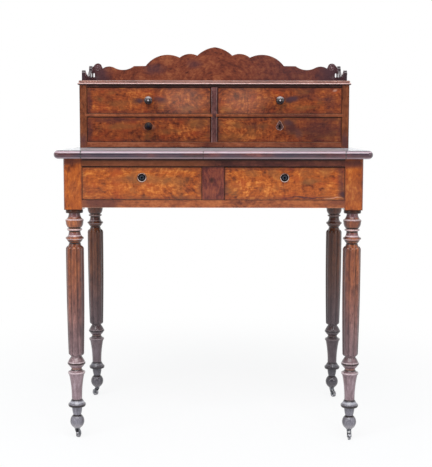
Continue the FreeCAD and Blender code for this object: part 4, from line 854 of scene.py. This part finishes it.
def volute(name, centre, across, up, start, reach, finish, turns=1.4, bead=0.0013, eye=0.0032):
    """Carved scroll: a bead that winds in from the rim, and a domed eye.

    The bead's path turns from the start angle, and its radius falls evenly from the reach
    to the eye's. Its section is a circle, whose radius tapers to nothing at both ends.
    The eye is a flattened ball.
    """
    across, up = np.array(across, float), np.array(up, float)
    out = np.cross(across, up)
    along, around = np.meshgrid(np.linspace(0, 1, BEAD_ROWS), circle(BEAD_SIDES), indexing="ij")
    angle = start + along * turns * 2 * np.pi
    run = reach + (eye + bead * 0.6 - reach) * along
    thick = bead * np.sqrt(np.clip(1 - (2 * along - 1) ** 6, 0, 1)) * (1 - along * 0.35)
    run = run + thick * np.cos(around)
    path = [run * np.cos(angle), run * np.sin(angle), thick * np.sin(around)]
    points = laid_out(path, centre, across, up, out)
    shell(f"{name}_bead", points, "carcase", finish)
    tilt, around = np.meshgrid(np.linspace(0, np.pi, EYE_ROWS), circle(EYE_SIDES), indexing="ij")
    disc, height = eye * np.sin(tilt), bead * 1.3 * np.cos(tilt)
    points = laid_out([disc * np.cos(around), disc * np.sin(around), height], centre, across, up, out)
    shell(f"{name}_eye", points, "carcase", finish)


BACK_FACE, EAR_X, EAR_Z = 0.241, 0.347, 0.988
SIDE_OUTER, SIDE_INNER = 0.372, 0.363
FRONT_SCROLL, REAR_SCROLL = (0.083, 0.963), (0.2385, 0.9805)


def gallery_carving():
    """A scroll on each ear of the back, and two on either face of each side piece."""
    carved = plain("carved mahogany", shades((64, 40, 46), (104, 74, 80), (150, 116, 118)),
                   seed=2.0, coat=1.0)
    for side, way in SIDES:
        volute(f"ear_volute_{side}", (way * EAR_X, BACK_FACE, EAR_Z), (way, 0, 0), (0, 0, way),
               start=0.6 * way, reach=0.0098, finish=carved)
        for face, x, out in (("outer", SIDE_OUTER, way), ("inner", SIDE_INNER, -way)):
            volute(f"front_volute_{side}_{face}", (way * x, *FRONT_SCROLL), (0, 1, 0), (0, 0, out),
                   start=2.6 * out, reach=0.0068, finish=carved, turns=1.1, bead=0.0011, eye=0.0024)
            volute(f"rear_volute_{side}_{face}", (way * x, *REAR_SCROLL), (0, 1, 0), (0, 0, out),
                   start=2.6 * out, reach=0.0085, finish=carved, turns=1.3, bead=0.0012, eye=0.0028)


gallery_carving()

RIM_THICK, RIM_ROWS, RIM_SIDES = 0.0009, 65, 8


def pear_border():
    """Raised edge of the pear-shaped key plate, a tube carried along its outline.

    The outline turns once: its height is the sine times the foot's radius below the middle
    and the head's reach above it, and its width is the cosine times the foot's radius,
    drawn in towards the head. The tube's section is a circle.
    """
    low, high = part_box(PEAR)
    foot = (high[0] - low[0]) / 2
    middle = ((low[0] + high[0]) / 2, low[1] + RIM_THICK * 0.9, low[2] + foot)
    along, around = np.meshgrid(np.linspace(0, 2 * np.pi, RIM_ROWS), circle(RIM_SIDES), indexing="ij")
    rise = np.clip(np.sin(along), 0, 1)
    reach = foot + RIM_THICK * 0.4 + RIM_THICK * np.cos(around)
    head = high[2] - middle[2] - foot
    across = reach * np.cos(along) * (1 - 0.7 * rise / (rise + 0.47))
    up = reach * np.sin(along) + head * rise
    tube = [across, up, RIM_THICK * np.sin(around)]
    finish = metal("pear plate rim", tone(150, 116, 112), tone(226, 196, 186), 0.2)
    points = laid_out(tube, middle, np.array((1, 0, 0)), np.array((0, 0, 1)), np.array((0, -1, 0)))
    shell("pear_plate_border", points, "gradin_lower_drawer_right", finish)


pear_border()


# ---------------------------------------------------------------- setting


CAMERA_PLACE, LENS = (0.0233, -2.7424, 0.8151), 76.54
PITCH, YAW, ROLL = 0.1074, -0.0064, 0.0012


def camera():
    """Camera at standing height before the table, turned down by the pitch."""
    ahead = Vector((math.sin(YAW) * math.cos(PITCH), math.cos(YAW) * math.cos(PITCH), -math.sin(PITCH)))
    right = Vector((math.cos(YAW), -math.sin(YAW), 0.0))
    up = right.cross(ahead)
    side = right * math.cos(ROLL) + up * math.sin(ROLL)
    top = up * math.cos(ROLL) - right * math.sin(ROLL)
    data = bpy.data.cameras.new("camera")
    data.lens = LENS
    item = bpy.data.objects.new("camera", data)
    turned = Matrix((side, top, -ahead)).transposed().to_4x4()
    item.matrix_world = Matrix.Translation(CAMERA_PLACE) @ turned
    bpy.context.scene.collection.objects.link(item)
    bpy.context.scene.camera = item


def softbox(name, place, aim, size, watts):
    data = bpy.data.lights.new(name, "AREA")
    data.shape = "RECTANGLE"
    data.size, data.size_y = size
    data.energy = watts
    item = bpy.data.objects.new(name, data)
    item.location = place
    item.rotation_mode = "QUATERNION"
    item.rotation_quaternion = (Vector(aim) - Vector(place)).to_track_quat("-Z", "Y")
    bpy.context.scene.collection.objects.link(item)


TABLE_MIDDLE = (0.0, 0.0, 0.6)
WHITE = (1.0, 1.0, 1.0, 1.0)


def studio():
    """Soft lamps above and to both sides, in a white surround that is dim in front."""
    softbox("overhead", place=(-0.2, -2.3, 3.1), aim=(0.0, -0.1, 0.6), size=(3.0, 1.6), watts=75.0)
    softbox("left fill", place=(-2.8, -2.8, 1.5), aim=TABLE_MIDDLE, size=(1.0, 2.0), watts=32.0)
    softbox("right fill", place=(2.9, -2.9, 1.5), aim=TABLE_MIDDLE, size=(1.0, 2.0), watts=26.0)
    world = bpy.data.worlds.new("surround")
    world.use_nodes = True
    bpy.context.scene.world = world
    surround = Nodes(world.node_tree)
    _, ahead, up = surround.axes(surround.node("TexCoord", output="Generated"))
    front = surround.step(ahead, -0.25, -0.65) * surround.step(abs(up), 0.75, 0.35)
    seen = surround.node("LightPath", output="Is Camera Ray")
    shiny = surround.node("LightPath", output="Is Glossy Ray")
    strength = seen + shiny * (1.0 - front * 0.88) + (1.0 - seen) * (1.0 - shiny) * 0.6
    background = world.node_tree.nodes["Background"]
    world.node_tree.links.new(strength.socket, background.inputs["Strength"])
    background.inputs["Color"].default_value = WHITE
    bpy.context.scene.view_settings.view_transform = "Standard"


FLOOR_REACH = 12.0
FLOOR_GREY = (0.86, 0.9, 0.95, 1.0)


def floor():
    """Wide pale floor that shows nearly plain white and keeps the table's shadow."""
    corners = [(across * FLOOR_REACH, deep * FLOOR_REACH, 0)
               for across, deep in ((-1, -1), (1, -1), (1, 1), (-1, 1))]
    mesh = bpy.data.meshes.new("floor")
    mesh.from_pydata(corners, [], [(0, 1, 2, 3)])
    item = bpy.data.objects.new("floor", mesh)
    bpy.context.scene.collection.objects.link(item)
    pale = Finish("floor", roughness=0.9)
    pale.give("Base Color", FLOOR_GREY)
    seen = pale.node("LightPath", output="Is Camera Ray")
    shiny = pale.node("LightPath", output="Is Glossy Ray")
    clear = pale.node("LightPath", output="Is Transmission Ray")
    white = pale.node("Emission", {"Color": WHITE, "Strength": 1.0}, "Emission")
    x, y, _ = pale.axes(pale.place)
    far = pale.step(x.length(y), 0.5, 1.6)
    before = pale.step(y, -3.6, -2.6)
    shown = (seen + shiny * (before * 0.8 + 0.2) + clear).clipped() * (far * 0.16 + 0.84)
    lit = Wire(pale, pale.shader.outputs[0])
    mixed = pale.node("MixShader", {0: shown, 1: lit, 2: white})
    pale.tree.links.new(mixed.socket, pale.tree.nodes["Material Output"].inputs["Surface"])
    mesh.materials.append(pale.material)


camera()
studio()
floor()
